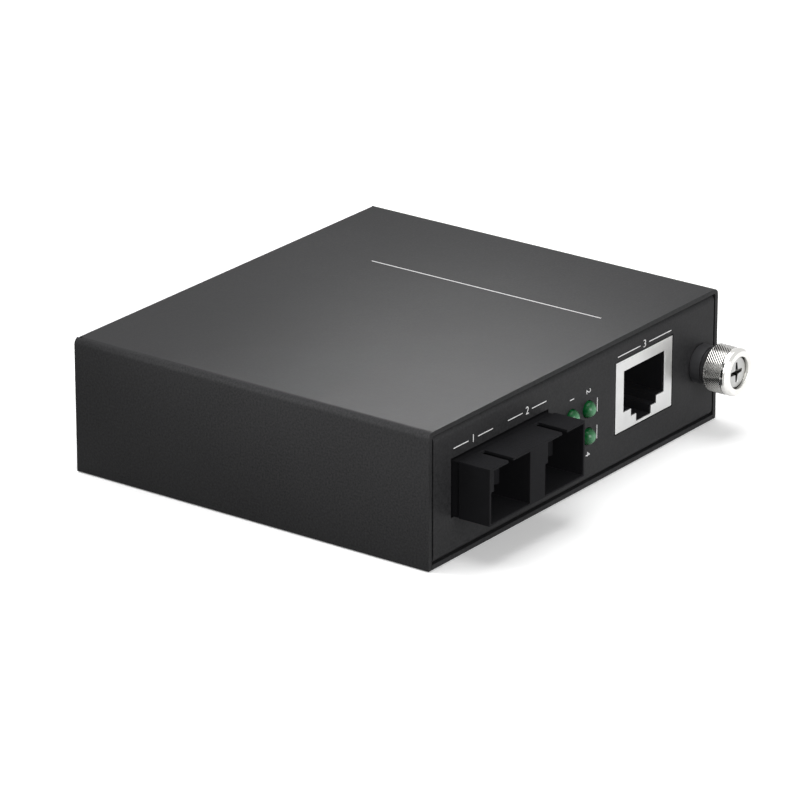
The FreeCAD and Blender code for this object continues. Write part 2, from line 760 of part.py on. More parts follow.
# ---------------------------------------------------------------- fibre port
def build_receptacle():
    """Black moulding with two ports, keyed at the top, that also seats the optical barrels."""
    body = new_body("fibre_receptacle")
    pad(body, "receptacle_block", "y", OPTIC_NOSE, OPTIC_JOINT,
        [rect(OPTIC_LEFT, OPTIC_RIGHT, OPTIC_UNDER, OPTIC_TOP)])
    left, right = OPTIC_LEFT + s.neck_relief, OPTIC_RIGHT - s.neck_relief
    roof = OPTIC_TOP - s.neck_relief
    pocket(body, "neck", "y", NECK, PANEL_BACK + s.sheet, [[
        (OPTIC_LEFT - CLEAR, OPTIC_UNDER), (left, OPTIC_UNDER), (left, roof), (right, roof),
        (right, OPTIC_UNDER), (OPTIC_RIGHT + CLEAR, OPTIC_UNDER),
        (OPTIC_RIGHT + CLEAR, OPTIC_TOP + CLEAR), (OPTIC_LEFT - CLEAR, OPTIC_TOP + CLEAR)]])
    half = s.port_width / 2
    shoulder = PORT_LOW + s.port_shoulder
    pocket(body, "ports", "y", OPTIC_NOSE - CLEAR, OPTIC_SEAT, [
        [(x - half, PORT_LOW), (x + half, PORT_LOW), (x + half, PORT_HIGH),
         (x - half + s.port_rib, PORT_HIGH), (x - half + s.port_rib, shoulder), (x - half, shoulder)]
        for x in PORT_CENTRES.values()])
    pocket(body, "key_slots", "y", OPTIC_NOSE - CLEAR, NECK - s.key_slot_web, [
        rect(x - s.key_slot / 2, x + s.key_slot / 2, PORT_HIGH - s.neck_relief, OPTIC_TOP + CLEAR)
        for x in PORT_CENTRES.values()])
    pocket(body, "barrel_seats", "y", OPTIC_SEAT - CLEAR, OPTIC_JOINT + CLEAR, discs=[
        (x, PORT_LEVEL, s.can_diameter + s.thread_slack * 2) for x in PORT_CENTRES.values()])
    pad(body, "feet", "z", BOARD_TOP, PORT_LOW, [square(x, FOOT_Y, s.foot_width / 2) for x in FEET])
    pad(body, "posts", "z", BOARD_TOP - s.foot_post_length, OPTIC_UNDER,
        [square(x, FOOT_Y, s.foot_post / 2) for x in FEET])
    keep(body, "fibre_receptacle")


def build_latch(side):
    """Latch insert of one port: a plate at the port's end with two hooked arms."""
    x = PORT_CENTRES[side]
    half = s.port_width / 2 - s.port_rib - s.latch_slip
    tip = FRONT - s.latch_tip
    plate = OPTIC_SEAT - s.latch_plate
    height = s.latch_plate_height / 2
    body = new_body(f"latch_{side}")
    pad(body, f"latch_{side}_plate", "y", plate, OPTIC_SEAT,
        [rect(x - half, x + half, PORT_LEVEL - height, PORT_LEVEL + height)],
        [(x, PORT_LEVEL, s.sleeve_diameter + s.latch_slip * 2)])
    root = plate + s.latch_plate / 2
    for sign, hand in ((-1, "left"), (1, "right")):
        outer = x + sign * half
        inner = outer - sign * s.latch_arm
        point = inner - sign * s.latch_hook
        corners = [(outer, root), (outer, tip), (inner, tip), (point, tip + s.latch_hook),
                   (point, tip + s.latch_hook * 2), (inner, tip + s.latch_hook * 2), (inner, root)]
        pad(body, f"latch_{side}_arm_{hand}", "z", PORT_LEVEL - s.latch_arm_height / 2,
            PORT_LEVEL + s.latch_arm_height / 2, [corners])
    keep(body, f"latch_{side}")


def build_barrel(label, side):
    """Optical barrel: a ferrule sleeve in front of the can that seats in the moulding."""
    bore, sleeve, can = s.ferrule_bore / 2, s.sleeve_diameter / 2, s.can_diameter / 2
    tail = OPTIC_JOINT - OPTIC_SEAT + s.can_tail
    body = turned(label, PORT_CENTRES[side], OPTIC_SEAT, PORT_LEVEL, [
        (bore, -s.sleeve_length), (sleeve, -s.sleeve_length), (sleeve, 0), (can, 0), (can, tail),
        (0, tail), (0, s.sleeve_bore_end), (bore, s.sleeve_bore_end)])
    keep(body, label)


def build_transceiver():
    """Rear half of the optical transceiver: lid, its own small board and the row of nine pins."""
    wall = s.lid_wall
    lid = new_body("transceiver_lid")
    pad(lid, "lid_block", "y", OPTIC_JOINT, OPTIC_END,
        [rect(OPTIC_LEFT, OPTIC_RIGHT, OPTIC_UNDER, OPTIC_TOP)])
    pocket(lid, "lid_inside", "z", OPTIC_UNDER - CLEAR, OPTIC_TOP - wall,
           [rect(OPTIC_LEFT + wall, OPTIC_RIGHT - wall, OPTIC_JOINT - CLEAR, OPTIC_END - wall)])
    keep(lid, "transceiver_lid")

    inset = s.small_board_inset
    keep(block("transceiver_board", OPTIC_LEFT + inset, OPTIC_RIGHT - inset,
               OPTIC_JOINT + s.small_board_setback, OPTIC_END - inset,
               SMALL_BOARD_UNDER, SMALL_BOARD_UNDER + s.small_board_thickness), "transceiver_board")
    half = s.optic_pin / 2
    group("transceiver_pins", [
        block(f"transceiver_pin_{i}", x - half, x + half, OPTIC_PIN_Y - half, OPTIC_PIN_Y + half,
              SMALL_BOARD_UNDER - s.optic_pin_length, SMALL_BOARD_UNDER)
        for i, x in enumerate(OPTIC_PINS)])


# ---------------------------------------------------------------- indicator lamps
def build_lamps():
    """Four domed lamps in two rows, in one holder that stands on the board."""
    radius = s.led_diameter / 2
    dome = []
    for i in range(DOME_STEPS):
        rise = math.pi / 2 * i / DOME_STEPS
        dome.append((radius * round(math.cos(rise), 6), -s.led_dome * round(math.sin(rise), 6)))
    for place, (x, z) in LED_PLACES.items():
        keep(turned(f"led_{place}", x, FRONT, z, [
            (0, s.led_length), (radius, s.led_length), *dome, (0, -s.led_dome)]), f"led_{place}")

    half = s.led_pitch / 2 + radius + s.holder_wall
    face = PANEL_BACK + s.cutout_gap
    body = new_body("led_holder")
    pad(body, "holder_block", "y", face, HOLDER_REAR, [
        rect(s.led_offset - half, s.led_offset + half, BOARD_TOP,
             LED_LEVEL + s.led_pitch + radius + s.holder_wall)])
    bore = radius + s.thread_slack
    pocket(body, "lamp_bores", "y", face - CLEAR, HOLDER_REAR + CLEAR, [
        square(x, z, bore) for x, z in LED_PLACES.values()])
    keep(body, "led_holder")

    leads = new_body("led_leads")
    wire = s.lead_wire
    for place, (x, z) in LED_PLACES.items():
        bend = HOLDER_REAR + s.lead_bend * (2 if place.startswith("upper") else 1)
        for sign, leg in ((-1, "a"), (1, "b")):
            middle = x + sign * (radius - wire)
            pad(leads, f"lead_{place}_{leg}", "x", middle - wire / 2, middle + wire / 2, [[
                (LED_BACK, z + wire / 2), (LED_BACK, z - wire / 2), (bend - wire, z - wire / 2),
                (bend - wire, BOARD_TOP), (bend, BOARD_TOP), (bend, z + wire / 2)]])
    keep(leads, "led_leads")


# ---------------------------------------------------------------- chips on the board
def chip(name, x, y, width, depth, height):
    """The moulded body of one chip, centred on (x, y) on the board's top."""
    keep(block(name, x - width / 2, x + width / 2, y - depth / 2, y + depth / 2,
               BOARD_TOP, BOARD_TOP + height), name)


def build_chips():
    """Each chip stands beside the port that it serves, or between the ports."""
    transformer_y = JACK_BACK + s.chip_gap / 2 + s.transformer_depth / 2
    transformer_rear = transformer_y + s.transformer_depth / 2
    chip("lan_transformer", JACK_X, transformer_y,
         s.transformer_width, s.transformer_depth, s.transformer_height)
    row = OPTIC_END + s.chip_gap + s.switch_width / 2
    chip("switch_chip", s.led_offset, row, s.switch_width, s.switch_width, s.switch_height)
    management_x = BOARD_RIGHT - s.management_inset
    crystal_y = transformer_rear + s.chip_gap + s.crystal_depth / 2
    chip("crystal", management_x, crystal_y, s.crystal_width, s.crystal_depth, s.crystal_height)
    chip("management_chip", management_x,
         crystal_y + s.crystal_depth / 2 + s.chip_gap + s.management_width / 2,
         s.management_width, s.management_width, s.management_height)
    chip("memory_chip", s.led_offset + s.switch_width / 2 + s.memory_gap + s.memory_width / 2,
         LINK_TAIL - s.chip_gap - s.memory_depth / 2, s.memory_width, s.memory_depth, s.memory_height)
    chip("regulator", POWER_X, POWER_FRONT - s.regulator_gap - s.regulator_depth / 2,
         s.regulator_width, s.regulator_depth, s.regulator_height)
    coil = s.inductor_width
    chip("inductor", POWER_RIGHT + s.inductor_gap + coil / 2, POWER_FRONT + coil / 2,
         coil, coil, s.inductor_height)
    chip("input_capacitor", POWER_LEFT - s.capacitor_gap - s.capacitor_width / 2,
         POWER_FRONT - s.capacitor_depth / 2, s.capacitor_width, s.capacitor_depth, s.capacitor_height)


# ---------------------------------------------------------------- rear connectors
def build_power_jack():
    """Barrel power jack, flush with the rear panel."""
    level = BOARD_TOP + s.power_axis
    body = new_body("power_jack")
    pad(body, "power_block", "y", POWER_FRONT, REAR_PANEL,
        [rect(POWER_LEFT, POWER_RIGHT, BOARD_TOP, BOARD_TOP + s.power_height)])
    pocket(body, "power_bore", "y", REAR_PANEL - s.power_bore_depth, REAR_PANEL + CLEAR,
           discs=[(POWER_X, level, s.power_bore)])
    pocket(body, "power_pin_hole", "y", POWER_FRONT - CLEAR, REAR_PANEL,
           discs=[(POWER_X, level, s.power_pin)])
    keep(body, "power_jack")
    keep(cylinder("power_pin", "y", POWER_X, POWER_FRONT, level, s.power_pin,
                  s.power_depth - s.power_pin_recess), "power_pin")


def build_link_header():
    """Shrouded two-row header that meets the chassis backplane."""
    body = new_body("link_header")
    level = BOARD_TOP + s.link_height / 2
    wall = s.link_wall
    pad(body, "link_block", "y", LINK_FRONT, REAR,
        [rect(LINK_LEFT, LINK_RIGHT, BOARD_TOP, BOARD_TOP + s.link_height)])
    pocket(body, "link_mouth", "y", LINK_FRONT + s.link_floor, REAR + CLEAR, [
        rect(LINK_LEFT + wall, LINK_RIGHT - wall, BOARD_TOP + wall, BOARD_TOP + s.link_height - wall)])
    places = [(s.link_offset + s.pin_pitch * (i - (LINK_COLUMNS - 1) / 2), level + s.pin_pitch * side / 2)
              for i in range(LINK_COLUMNS) for side in (-1, 1)]
    half = s.link_pin / 2
    pocket(body, "link_pin_holes", "y", LINK_FRONT - CLEAR, LINK_FRONT + s.link_floor + CLEAR,
           [square(x, z, half) for x, z in places])
    keep(body, "link_header")
    group("link_pins", [
        block(f"link_pin_{i}", x - half, x + half, LINK_TAIL, REAR - s.link_pin_recess, z - half, z + half)
        for i, (x, z) in enumerate(places)])


# ---------------------------------------------------------------- captive thumbscrew
def build_collar():
    """Guide pressed into the front panel, bored from the front for the spring."""
    guide = s.screw_thread / 2 + s.running_slack
    spigot = s.collar_spigot / 2 - s.thread_slack
    outside, spring = s.collar_diameter / 2, s.spring_bore / 2
    keep(turned("thumbscrew_collar", SCREW_X, FRONT, s.screw_level, [
        (guide, s.sheet), (spigot, s.sheet), (spigot, 0), (outside, 0), (outside, -s.collar_length),
        (spring, -s.collar_length), (spring, -s.collar_web), (guide, -s.collar_web)]),
        "thumbscrew_collar")


def build_knob():
    """Knob whose skirt slides over the collar, with a counterbore for the screw's head."""
    bore = s.screw_thread / 2 + s.thread_slack
    skirt = s.collar_diameter / 2 + s.knob_slip
    seat = s.screw_head / 2 + s.thread_slack
    face, head_seat = s.knob_diameter / 2, s.knob_counterbore
    roof = head_seat + s.knob_web
    keep(turned("thumbscrew_knob", SCREW_X, KNOB_FACE, s.screw_level, [
        (seat, 0), (face - s.knob_chamfer, 0), (face, s.knob_chamfer), (face, s.knob_length),
        (skirt, s.knob_length), (skirt, roof), (bore, roof), (bore, head_seat), (seat, head_seat)]),
        "thumbscrew_knob")


def build_screw():
    """The long screw: head, bearing, clip groove, waist and the thread behind the rear panel."""
    head, shank, waist = s.screw_head / 2, s.screw_thread / 2, s.screw_waist / 2
    root = s.clip_bore / 2 - s.running_slack
    groove = CLIP_FACE - KNOB_FACE - s.running_slack
    groove_end = groove + s.clip_thickness + s.running_slack * 2
    land_end = groove_end + s.screw_land
    thread = REAR_PANEL + s.cutout_gap - KNOB_FACE
    tip = REAR + s.screw_tail - KNOB_FACE
    screw = turned("thumbscrew_screw", SCREW_X, KNOB_FACE, s.screw_level, [
        (0, s.head_drop), (head, s.head_drop), (head, s.knob_counterbore), (shank, s.knob_counterbore),
        (shank, groove), (root, groove), (root, groove_end), (shank, groove_end), (shank, land_end),
        (waist, land_end), (waist, thread), (shank, thread),
        (shank, tip - s.screw_tip), (shank - s.screw_tip, tip), (0, tip)])
    arm, slot = s.cross_reach, s.cross_width / 2
    pocket(screw, "cross_recess", "y", s.head_drop - CLEAR, s.head_drop + s.cross_depth, [[
        (-arm, -slot), (-slot, -slot), (-slot, -arm), (slot, -arm), (slot, -slot), (arm, -slot),
        (arm, slot), (slot, slot), (slot, arm), (-slot, arm), (-slot, slot), (-arm, slot)]])
    keep(screw, "thumbscrew_screw")


def build_clip():
    """Open retaining clip in the screw's groove, behind the front panel."""
    x, z = SCREW_X, s.screw_level
    clip = new_body("thumbscrew_clip")
    pad(clip, "clip_plate", "y", CLIP_FACE, CLIP_FACE + s.clip_thickness, discs=[
        (x, z, s.clip_diameter), (x, z, s.clip_bore)])
    pocket(clip, "clip_mouth", "y", CLIP_FACE - CLEAR, CLIP_FACE + s.clip_thickness + CLEAR, [
        rect(x - s.clip_mouth / 2, x + s.clip_mouth / 2, z - s.clip_diameter, z)])
    keep(clip, "thumbscrew_clip")


def build_spring():
    """Return spring between the collar's web and the knob's roof: a wire swept along a helix."""
    length = SPRING_SEAT - KNOB_ROOF - s.spring_wire
    coil = doc.addObject("Part::Helix", "spring_coil")
    bind(coil, Radius=s.spring_mean / 2, Height=length, Pitch=length / s.spring_turns)
    wire = doc.addObject("Part::RegularPolygon", "spring_wire_section")
    wire.Polygon = 4
    wire.Placement = FreeCAD.Placement(Vector(), Rotation(Vector(1, 0, 0), 90))
    bind(wire, Circumradius=s.spring_wire / 2, Placement__Base__x=s.spring_mean / 2)
    spring = doc.addObject("Part::Sweep", "thumbscrew_spring")
    spring.Sections = [wire]
    spring.Spine = (coil, ["Edge1"])
    spring.Solid = True
    spring.Frenet = True
    spring.Placement = FreeCAD.Placement(Vector(), Rotation(Vector(1, 0, 0), 90))
    bind(spring, Placement__Base__x=SCREW_X, Placement__Base__y=SPRING_SEAT - s.spring_wire / 2,
         Placement__Base__z=s.screw_level)
    keep(spring, "thumbscrew_spring")


def check(features):
    """Stop if any object failed to build or any sub-part has no valid solid."""
    doc.recompute()
    for item in doc.Objects:
        if "Invalid" in item.State or "Error" in item.State:
            raise RuntimeError(f"{item.Label} failed: {item.State}")
    for item in features:
        if item.Shape.isNull() or not item.Shape.isValid() or not item.Shape.Solids:
            raise RuntimeError(f"{item.Label} has no valid solid")


def main():
    build_cover()
    build_base()
    build_front_panel()
    build_cover_screws()
    build_board()
    build_jack()
    build_receptacle()
    for side in PORT_CENTRES:
        build_latch(side)
    build_barrel("transmitter_barrel", "left")
    build_barrel("receiver_barrel", "right")
    build_transceiver()
    build_lamps()
    build_chips()
    build_power_jack()
    build_link_header()
    build_collar()
    build_knob()
    build_screw()
    build_clip()
    build_spring()
    check(PARTS)
    os.makedirs("parts", exist_ok=True)
    for part in PARTS:
        part.Shape.exportStep(f"parts/{part.Label}.step")
    print(f"{len(PARTS)} sub-parts written")


main()
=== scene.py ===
# %% [markdown]
# # A slide-in fibre media converter
#
# The object is a flat steel box, about as large as a thick pack of cards, that turns a fibre
# link into a copper one. Its solids come from the CAD model, which is loaded first and is never
# moved. This file gives each solid its finish, and models again the pieces whose detail is too
# fine for the CAD model: the knurled thumbscrew, the screw threads, the sprung contacts and the
# lamps. The printed marks are added. Every length is in metres, so a size in millimetres is
# multiplied by MM.

import math

import bmesh
import bpy
import numpy as np
from mathutils import Matrix, Vector


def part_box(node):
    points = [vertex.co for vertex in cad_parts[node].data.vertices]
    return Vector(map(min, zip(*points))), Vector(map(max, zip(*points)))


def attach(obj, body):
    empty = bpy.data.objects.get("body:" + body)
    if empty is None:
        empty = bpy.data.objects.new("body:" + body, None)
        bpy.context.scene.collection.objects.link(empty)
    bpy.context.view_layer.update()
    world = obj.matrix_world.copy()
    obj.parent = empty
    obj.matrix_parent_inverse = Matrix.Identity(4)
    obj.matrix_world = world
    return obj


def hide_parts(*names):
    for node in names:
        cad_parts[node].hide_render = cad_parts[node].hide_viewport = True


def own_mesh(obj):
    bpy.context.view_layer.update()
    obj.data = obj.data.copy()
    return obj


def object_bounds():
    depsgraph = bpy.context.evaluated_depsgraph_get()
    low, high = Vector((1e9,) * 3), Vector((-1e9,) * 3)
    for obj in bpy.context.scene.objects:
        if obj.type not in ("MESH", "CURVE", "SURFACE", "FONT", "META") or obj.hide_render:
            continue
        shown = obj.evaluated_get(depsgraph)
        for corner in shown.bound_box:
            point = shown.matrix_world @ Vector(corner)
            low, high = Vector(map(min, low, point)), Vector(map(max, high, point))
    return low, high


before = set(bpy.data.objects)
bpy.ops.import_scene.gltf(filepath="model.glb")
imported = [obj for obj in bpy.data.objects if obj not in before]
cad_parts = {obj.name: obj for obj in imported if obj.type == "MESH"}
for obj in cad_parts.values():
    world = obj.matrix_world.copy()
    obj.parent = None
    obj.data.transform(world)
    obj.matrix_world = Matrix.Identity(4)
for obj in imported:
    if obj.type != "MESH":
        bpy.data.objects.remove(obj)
CAD_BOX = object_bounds()
MM = 0.001


# %% [markdown]
# ## Nodes, colours and a place to keep finishes
#
# A finish is a small graph of shader nodes. It reads Object coordinates, which are in metres
# here, so the Scale of a pattern is one divided by its real size, and the pattern stays on the
# piece when the piece moves. A painted image would need every piece unwrapped, and would blur
# close up. One helper adds a node, sets it and links it. Colours are written as a screen shows
# them, and one function turns them into linear light.

# %% Node helpers
FINISHES = {}
# A Mix node has sockets for each kind of value, and these are the ones that it uses for colours
COLOURS, SHARE, FIRST, SECOND, MIXED = {"data_type": "RGBA"}, 0, 6, 7, 2
# A noise seldom leaves this range, so stretching it to 0 to 1 gives full contrast
CONTRAST = {"From Min": 0.3, "From Max": 0.7}


def linear(code):
    """sRGB hex to linear RGBA: c / 12.92 when dark, otherwise ((c + 0.055) / 1.055) ** 2.4."""
    channels = np.array([int(code[i:i + 2], 16) for i in (1, 3, 5)]) / 255
    low, high = channels / 12.92, ((channels + 0.055) / 1.055) ** 2.4
    return (*np.where(channels <= 0.04045, low, high).tolist(), 1.0)


def node(tree, kind, inputs=None, **settings):
    """Add one shader node; an input is a number or a colour, or an output socket to link from."""
    made = tree.nodes.new("ShaderNode" + kind)
    for name, value in settings.items():
        setattr(made, name, value)
    for name, value in (inputs or {}).items():
        if isinstance(value, bpy.types.NodeSocket):
            tree.links.new(value, made.inputs[name])
        else:
            made.inputs[name].default_value = value
    return made


def bare_tree(owner):
    """The node tree of a material or a world, switched on and emptied."""
    owner.use_nodes = True
    owner.node_tree.nodes.clear()
    return owner.node_tree


def start_finish(slot, name):
    """A new material with a Principled shader: returns its tree, the shader and Object coordinates."""
    material = bpy.data.materials.new(name)
    tree = bare_tree(material)
    shader = node(tree, "BsdfPrincipled")
    node(tree, "OutputMaterial", {"Surface": shader.outputs["BSDF"]})
    FINISHES[slot] = material
    return tree, shader, node(tree, "TexCoord").outputs["Object"]


def dress(tree, shader, tone, gloss, bump):
    """Link a colour mix, a roughness and a bump to the shader."""
    tree.links.new(tone.outputs[MIXED], shader.inputs["Base Color"])
    tree.links.new(gloss.outputs[0], shader.inputs["Roughness"])
    tree.links.new(bump.outputs["Normal"], shader.inputs["Normal"])


print("a screen grey of #808080 is", round(linear("#808080")[0], 3), "in linear light")


# %% [markdown]
# ## Powder-coated sheet steel
#
# The case is folded steel, sprayed with black polyester powder and baked. The powder melts into
# a skin that is matte from a distance and finely pebbled close up. The pebbles are about a
# third of a millimetre wide, over a slower orange-peel wave of two millimetres. They tilt the
# surface a little, so the sheen breaks into tiny specks. Handling leaves faint paler clouds.
# The pebbles are far too many to model, so they are a bump.

# %% Powder coat
PEBBLE, PEEL, CLOUD, PEBBLE_HIGH = 0.34 * MM, 2.2 * MM, 24 * MM, 0.02 * MM
tree, shader, place = start_finish("powder_coated_steel", "black_powder_coated_steel")
pebble = node(tree, "TexNoise", {"Vector": place, "Scale": 1 / PEBBLE, "Detail": 2.0, "Roughness": 0.6})
peel = node(tree, "TexNoise", {"Vector": place, "Scale": 1 / PEEL, "Detail": 1.0})
cloud = node(tree, "TexNoise", {"Vector": place, "Scale": 1 / CLOUD, "Detail": 3.0})
speck = node(tree, "MapRange", {"Value": pebble.outputs["Fac"], **CONTRAST})
coat = node(tree, "Mix", {SHARE: speck.outputs[0], FIRST: linear("#19191a"),
                          SECOND: linear("#2b2b2c")}, **COLOURS)
handled = node(tree, "MapRange", {"Value": cloud.outputs["Fac"], "From Min": 0.4, "From Max": 0.8,
                                  "To Max": 0.2})
coat = node(tree, "Mix", {SHARE: handled.outputs[0], FIRST: coat.outputs[MIXED],
                          SECOND: linear("#363637")}, **COLOURS)
gloss = node(tree, "MapRange", {"Value": speck.outputs[0], "To Min": 0.46, "To Max": 0.60})
skin = node(tree, "Math", {0: pebble.outputs["Fac"], 1: peel.outputs["Fac"]}, operation="ADD")
bump = node(tree, "Bump", {"Height": skin.outputs[0], "Strength": 0.5, "Distance": PEBBLE_HIGH})
shader.inputs["Specular IOR Level"].default_value = 0.1
print("powder coat pebbles", round(PEBBLE / MM, 2), "mm wide")


# %% [markdown]
# ## The white line on the cover
#
# One white line is printed along the top. As a piece of its own it would stand above the case,
# and it is too thin for that. So it is a box in Object coordinates, and whatever powder coat
# lies inside the box takes the ink's colour. A coordinate is inside when it is no further from
# the box's middle than half the box's size, and the three answers are multiplied.

# %% White line
LINE_ACROSS, LINE_BACK = 0.711, 0.4335  # its middle, as shares of the case's width and depth
LINE_HALF_LONG = 0.3285  # as a share of the depth
LINE_HALF_WIDE, LINE_HALF_HIGH = 0.13 * MM, 0.05 * MM
case_low, case_high = np.array(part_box("cover"))
case_wide, case_deep, _ = case_high - case_low
line_middle = (case_low[0] + LINE_ACROSS * case_wide, case_low[1] + LINE_BACK * case_deep, case_high[2])
line_half = (LINE_HALF_WIDE, LINE_HALF_LONG * case_deep, LINE_HALF_HIGH)
axes, inked = node(tree, "SeparateXYZ", {"Vector": place}), 1.0
for axis in range(3):
    inside = node(tree, "Math", {0: axes.outputs[axis], 1: line_middle[axis], 2: line_half[axis]},
                  operation="COMPARE")
    inked = node(tree, "Math", {0: inked, 1: inside.outputs[0]}, operation="MULTIPLY").outputs[0]
tone = node(tree, "Mix", {SHARE: inked, FIRST: coat.outputs[MIXED], SECOND: linear("#d6d6d6")},
            **COLOURS)
dress(tree, shader, tone, gloss, bump)
print("white line", round(2 * LINE_HALF_LONG * case_deep / MM, 1), "mm long")


# %% [markdown]
# ## Bright metals
#
# Nickel on a turned part is slightly warm and almost a mirror, with smudges where it was held.
# The knob is gripped by its knurled band, whose fine valleys hold a grey film. Tin on a stamped
# shield is whiter and duller, with fine lines from the rolled sheet. The other metals share one
# recipe, patches of lighter and darker wear, with their own colours and size. A metal keeps the
# default index of refraction, because its colour says how it reflects.

# %% Nickel on turned parts
SMUDGE, SCRATCH, METAL_GRAIN = 2.5 * MM, 0.25 * MM, 0.003 * MM
tree, shader, place = start_finish("nickel_plate", "bright_nickel_plated_steel")
smudge = node(tree, "TexNoise", {"Vector": place, "Scale": 1 / SMUDGE, "Detail": 3.0})
scratch = node(tree, "TexNoise", {"Vector": place, "Scale": 1 / SCRATCH, "Detail": 2.0})
plate = node(tree, "Mix", {SHARE: smudge.outputs["Fac"], FIRST: linear("#cfcecb"),
                           SECOND: linear("#eae9e6")}, **COLOURS)
gloss = node(tree, "MapRange", {"Value": smudge.outputs["Fac"], "To Min": 0.10, "To Max": 0.20})
bump = node(tree, "Bump", {"Height": scratch.outputs["Fac"], "Strength": 0.10, "Distance": METAL_GRAIN})
shader.inputs["Metallic"].default_value = 1.0
print("nickel smudges", round(SMUDGE / MM, 1), "mm wide")

# %% Grey film in the knurl: it starts BAND behind the knob's face and ends BACK_BAND before its back
BAND, BACK_BAND = 1.2 * MM, 0.5 * MM
knob_low, knob_high = np.array(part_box("thumbscrew_knob"))
grip = (knob_low[1] + BAND + knob_high[1] - BACK_BAND) / 2
grip_half = knob_high[1] - BACK_BAND - grip
along = node(tree, "SeparateXYZ", {"Vector": place}).outputs["Y"]
gripped = node(tree, "Math", {0: along, 1: grip, 2: grip_half}, operation="COMPARE")
worn = node(tree, "MapRange", {"Value": scratch.outputs["Fac"], "To Min": 0.8, **CONTRAST})
grime = node(tree, "Math", {0: gripped.outputs[0], 1: worn.outputs[0]}, operation="MULTIPLY")
tone = node(tree, "Mix", {SHARE: grime.outputs[0], FIRST: plate.outputs[MIXED],
                          SECOND: linear("#a9a8a5")}, **COLOURS)
dress(tree, shader, tone, gloss, bump)
print("knurled band", round(2 * grip_half / MM, 2), "mm long")

# %% Tin on the stamped shield, whose lines are squeezed to a twelfth along Z
ROLL_LINE, SQUEEZE, DULL = 1.2 * MM, 12.0, 4.0 * MM
tree, shader, place = start_finish("tin_plate", "tin_plated_stamped_bronze")
rolled = node(tree, "Mapping", {"Vector": place, "Scale": (1.0, 1.0, SQUEEZE)})
lines = node(tree, "TexNoise", {"Vector": rolled.outputs[0], "Scale": 1 / ROLL_LINE, "Detail": 3.0})
dull = node(tree, "TexNoise", {"Vector": place, "Scale": 1 / DULL, "Detail": 2.0})
tone = node(tree, "Mix", {SHARE: dull.outputs["Fac"], FIRST: linear("#babbbb"),
                          SECOND: linear("#cfcfce")}, **COLOURS)
gloss = node(tree, "MapRange", {"Value": lines.outputs["Fac"], "To Min": 0.30, "To Max": 0.40})
bump = node(tree, "Bump", {"Height": lines.outputs["Fac"], "Strength": 0.06, "Distance": METAL_GRAIN})
dress(tree, shader, tone, gloss, bump)
shader.inputs["Metallic"].default_value = 1.0
print("rolling lines", round(ROLL_LINE / SQUEEZE / MM, 2), "mm apart")


# %% The recipe of the other metals
def patchy(slot, name, dark, light, smooth, rough, patch, grain=2 * METAL_GRAIN, metallic=1.0):
    """Wear on a surface: a noise with patches `patch` mm wide mixes two colours and two roughnesses."""
    tree, shader, place = start_finish(slot, name)
    wear = node(tree, "TexNoise", {"Vector": place, "Scale": 1 / (patch * MM), "Detail": 3.0})
    tone = node(tree, "Mix", {SHARE: wear.outputs["Fac"], FIRST: linear(dark), SECOND: linear(light)},
                **COLOURS)
    gloss = node(tree, "MapRange", {"Value": wear.outputs["Fac"], "To Min": smooth, "To Max": rough})
    bump = node(tree, "Bump", {"Height": wear.outputs["Fac"], "Strength": 0.10, "Distance": grain})
    dress(tree, shader, tone, gloss, bump)
    shader.inputs["Metallic"].default_value = metallic
    return tree, shader, tone, place


# %% Other metals: name, darker and lighter colour, least and most roughness, patch in mm
METALS = {
    # A thin gold flash on phosphor bronze: warm and quite bright.
    "gold_plate": ("gold_plated_bronze", "#d0a04a", "#efcf86", 0.18, 0.30, 0.8),
    # Spring steel is drawn smooth and keeps a grey shine.
    "stainless_steel": ("stainless_spring_steel", "#b2b1ad", "#d4d3ce", 0.22, 0.34, 1.0),
    # Black oxide is a dark film with a soft oily gloss.
    "black_screw_steel": ("black_oxide_steel", "#18181a", "#28282b", 0.34, 0.48, 0.9),
    # Hot tin on copper legs is bright where it flowed and grey where it froze.
    "tinned_copper": ("tinned_copper_wire", "#b7b7b3", "#d8d8d3", 0.24, 0.38, 0.7),
    # Bright zinc has a cool grey bloom, duller where the bath was slow.
    "zinc_plated_steel": ("bright_zinc_plated_steel", "#9d9d9c", "#c2c2c0", 0.26, 0.42, 1.2),
}
made_metals = {slot: patchy(slot, *row) for slot, row in METALS.items()}
print("metals", sorted(made_metals))

# %% Painted shade on zinc in the cross recess, from just below the face of the long screw's head
RECESS_SHADE_MIDDLE, RECESS_SHADE_HALF = 0.9 * MM, 0.8 * MM
tree, shader, plate, place = made_metals["zinc_plated_steel"]
head_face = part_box("thumbscrew_screw")[0][1]
along = node(tree, "SeparateXYZ", {"Vector": place}).outputs["Y"]
# Painted shade: zinc at the depth of the cross recess is painted dark, for the shade that falls in the
# recess
painted_recess_shade = node(tree, "Math", {0: along, 1: head_face + RECESS_SHADE_MIDDLE, 2: RECESS_SHADE_HALF},
               operation="COMPARE")
tone = node(tree, "Mix", {SHARE: painted_recess_shade.outputs[0], FIRST: plate.outputs[MIXED],
                          SECOND: linear("#4a4946")}, **COLOURS)
tree.links.new(tone.outputs[MIXED], shader.inputs["Base Color"])
print("painted recess shade starts", round((RECESS_SHADE_MIDDLE - RECESS_SHADE_HALF) / MM, 2), "mm below the head's face")


# %% [markdown]
# ## Moulded, cast and dyed blacks
#
# The fibre receptacle and the headers are black polyester (PBT), moulded in tools whose walls
# were eroded by sparks, which leaves a fine, even, sandy skin with very little gloss. Chips are
# cast in black epoxy full of glass powder. Anodised aluminium is a dyed oxide, smoother and
# with more sheen. All are a sand pattern in the bump under a slow change of tone, so one loop
# over a table makes them.

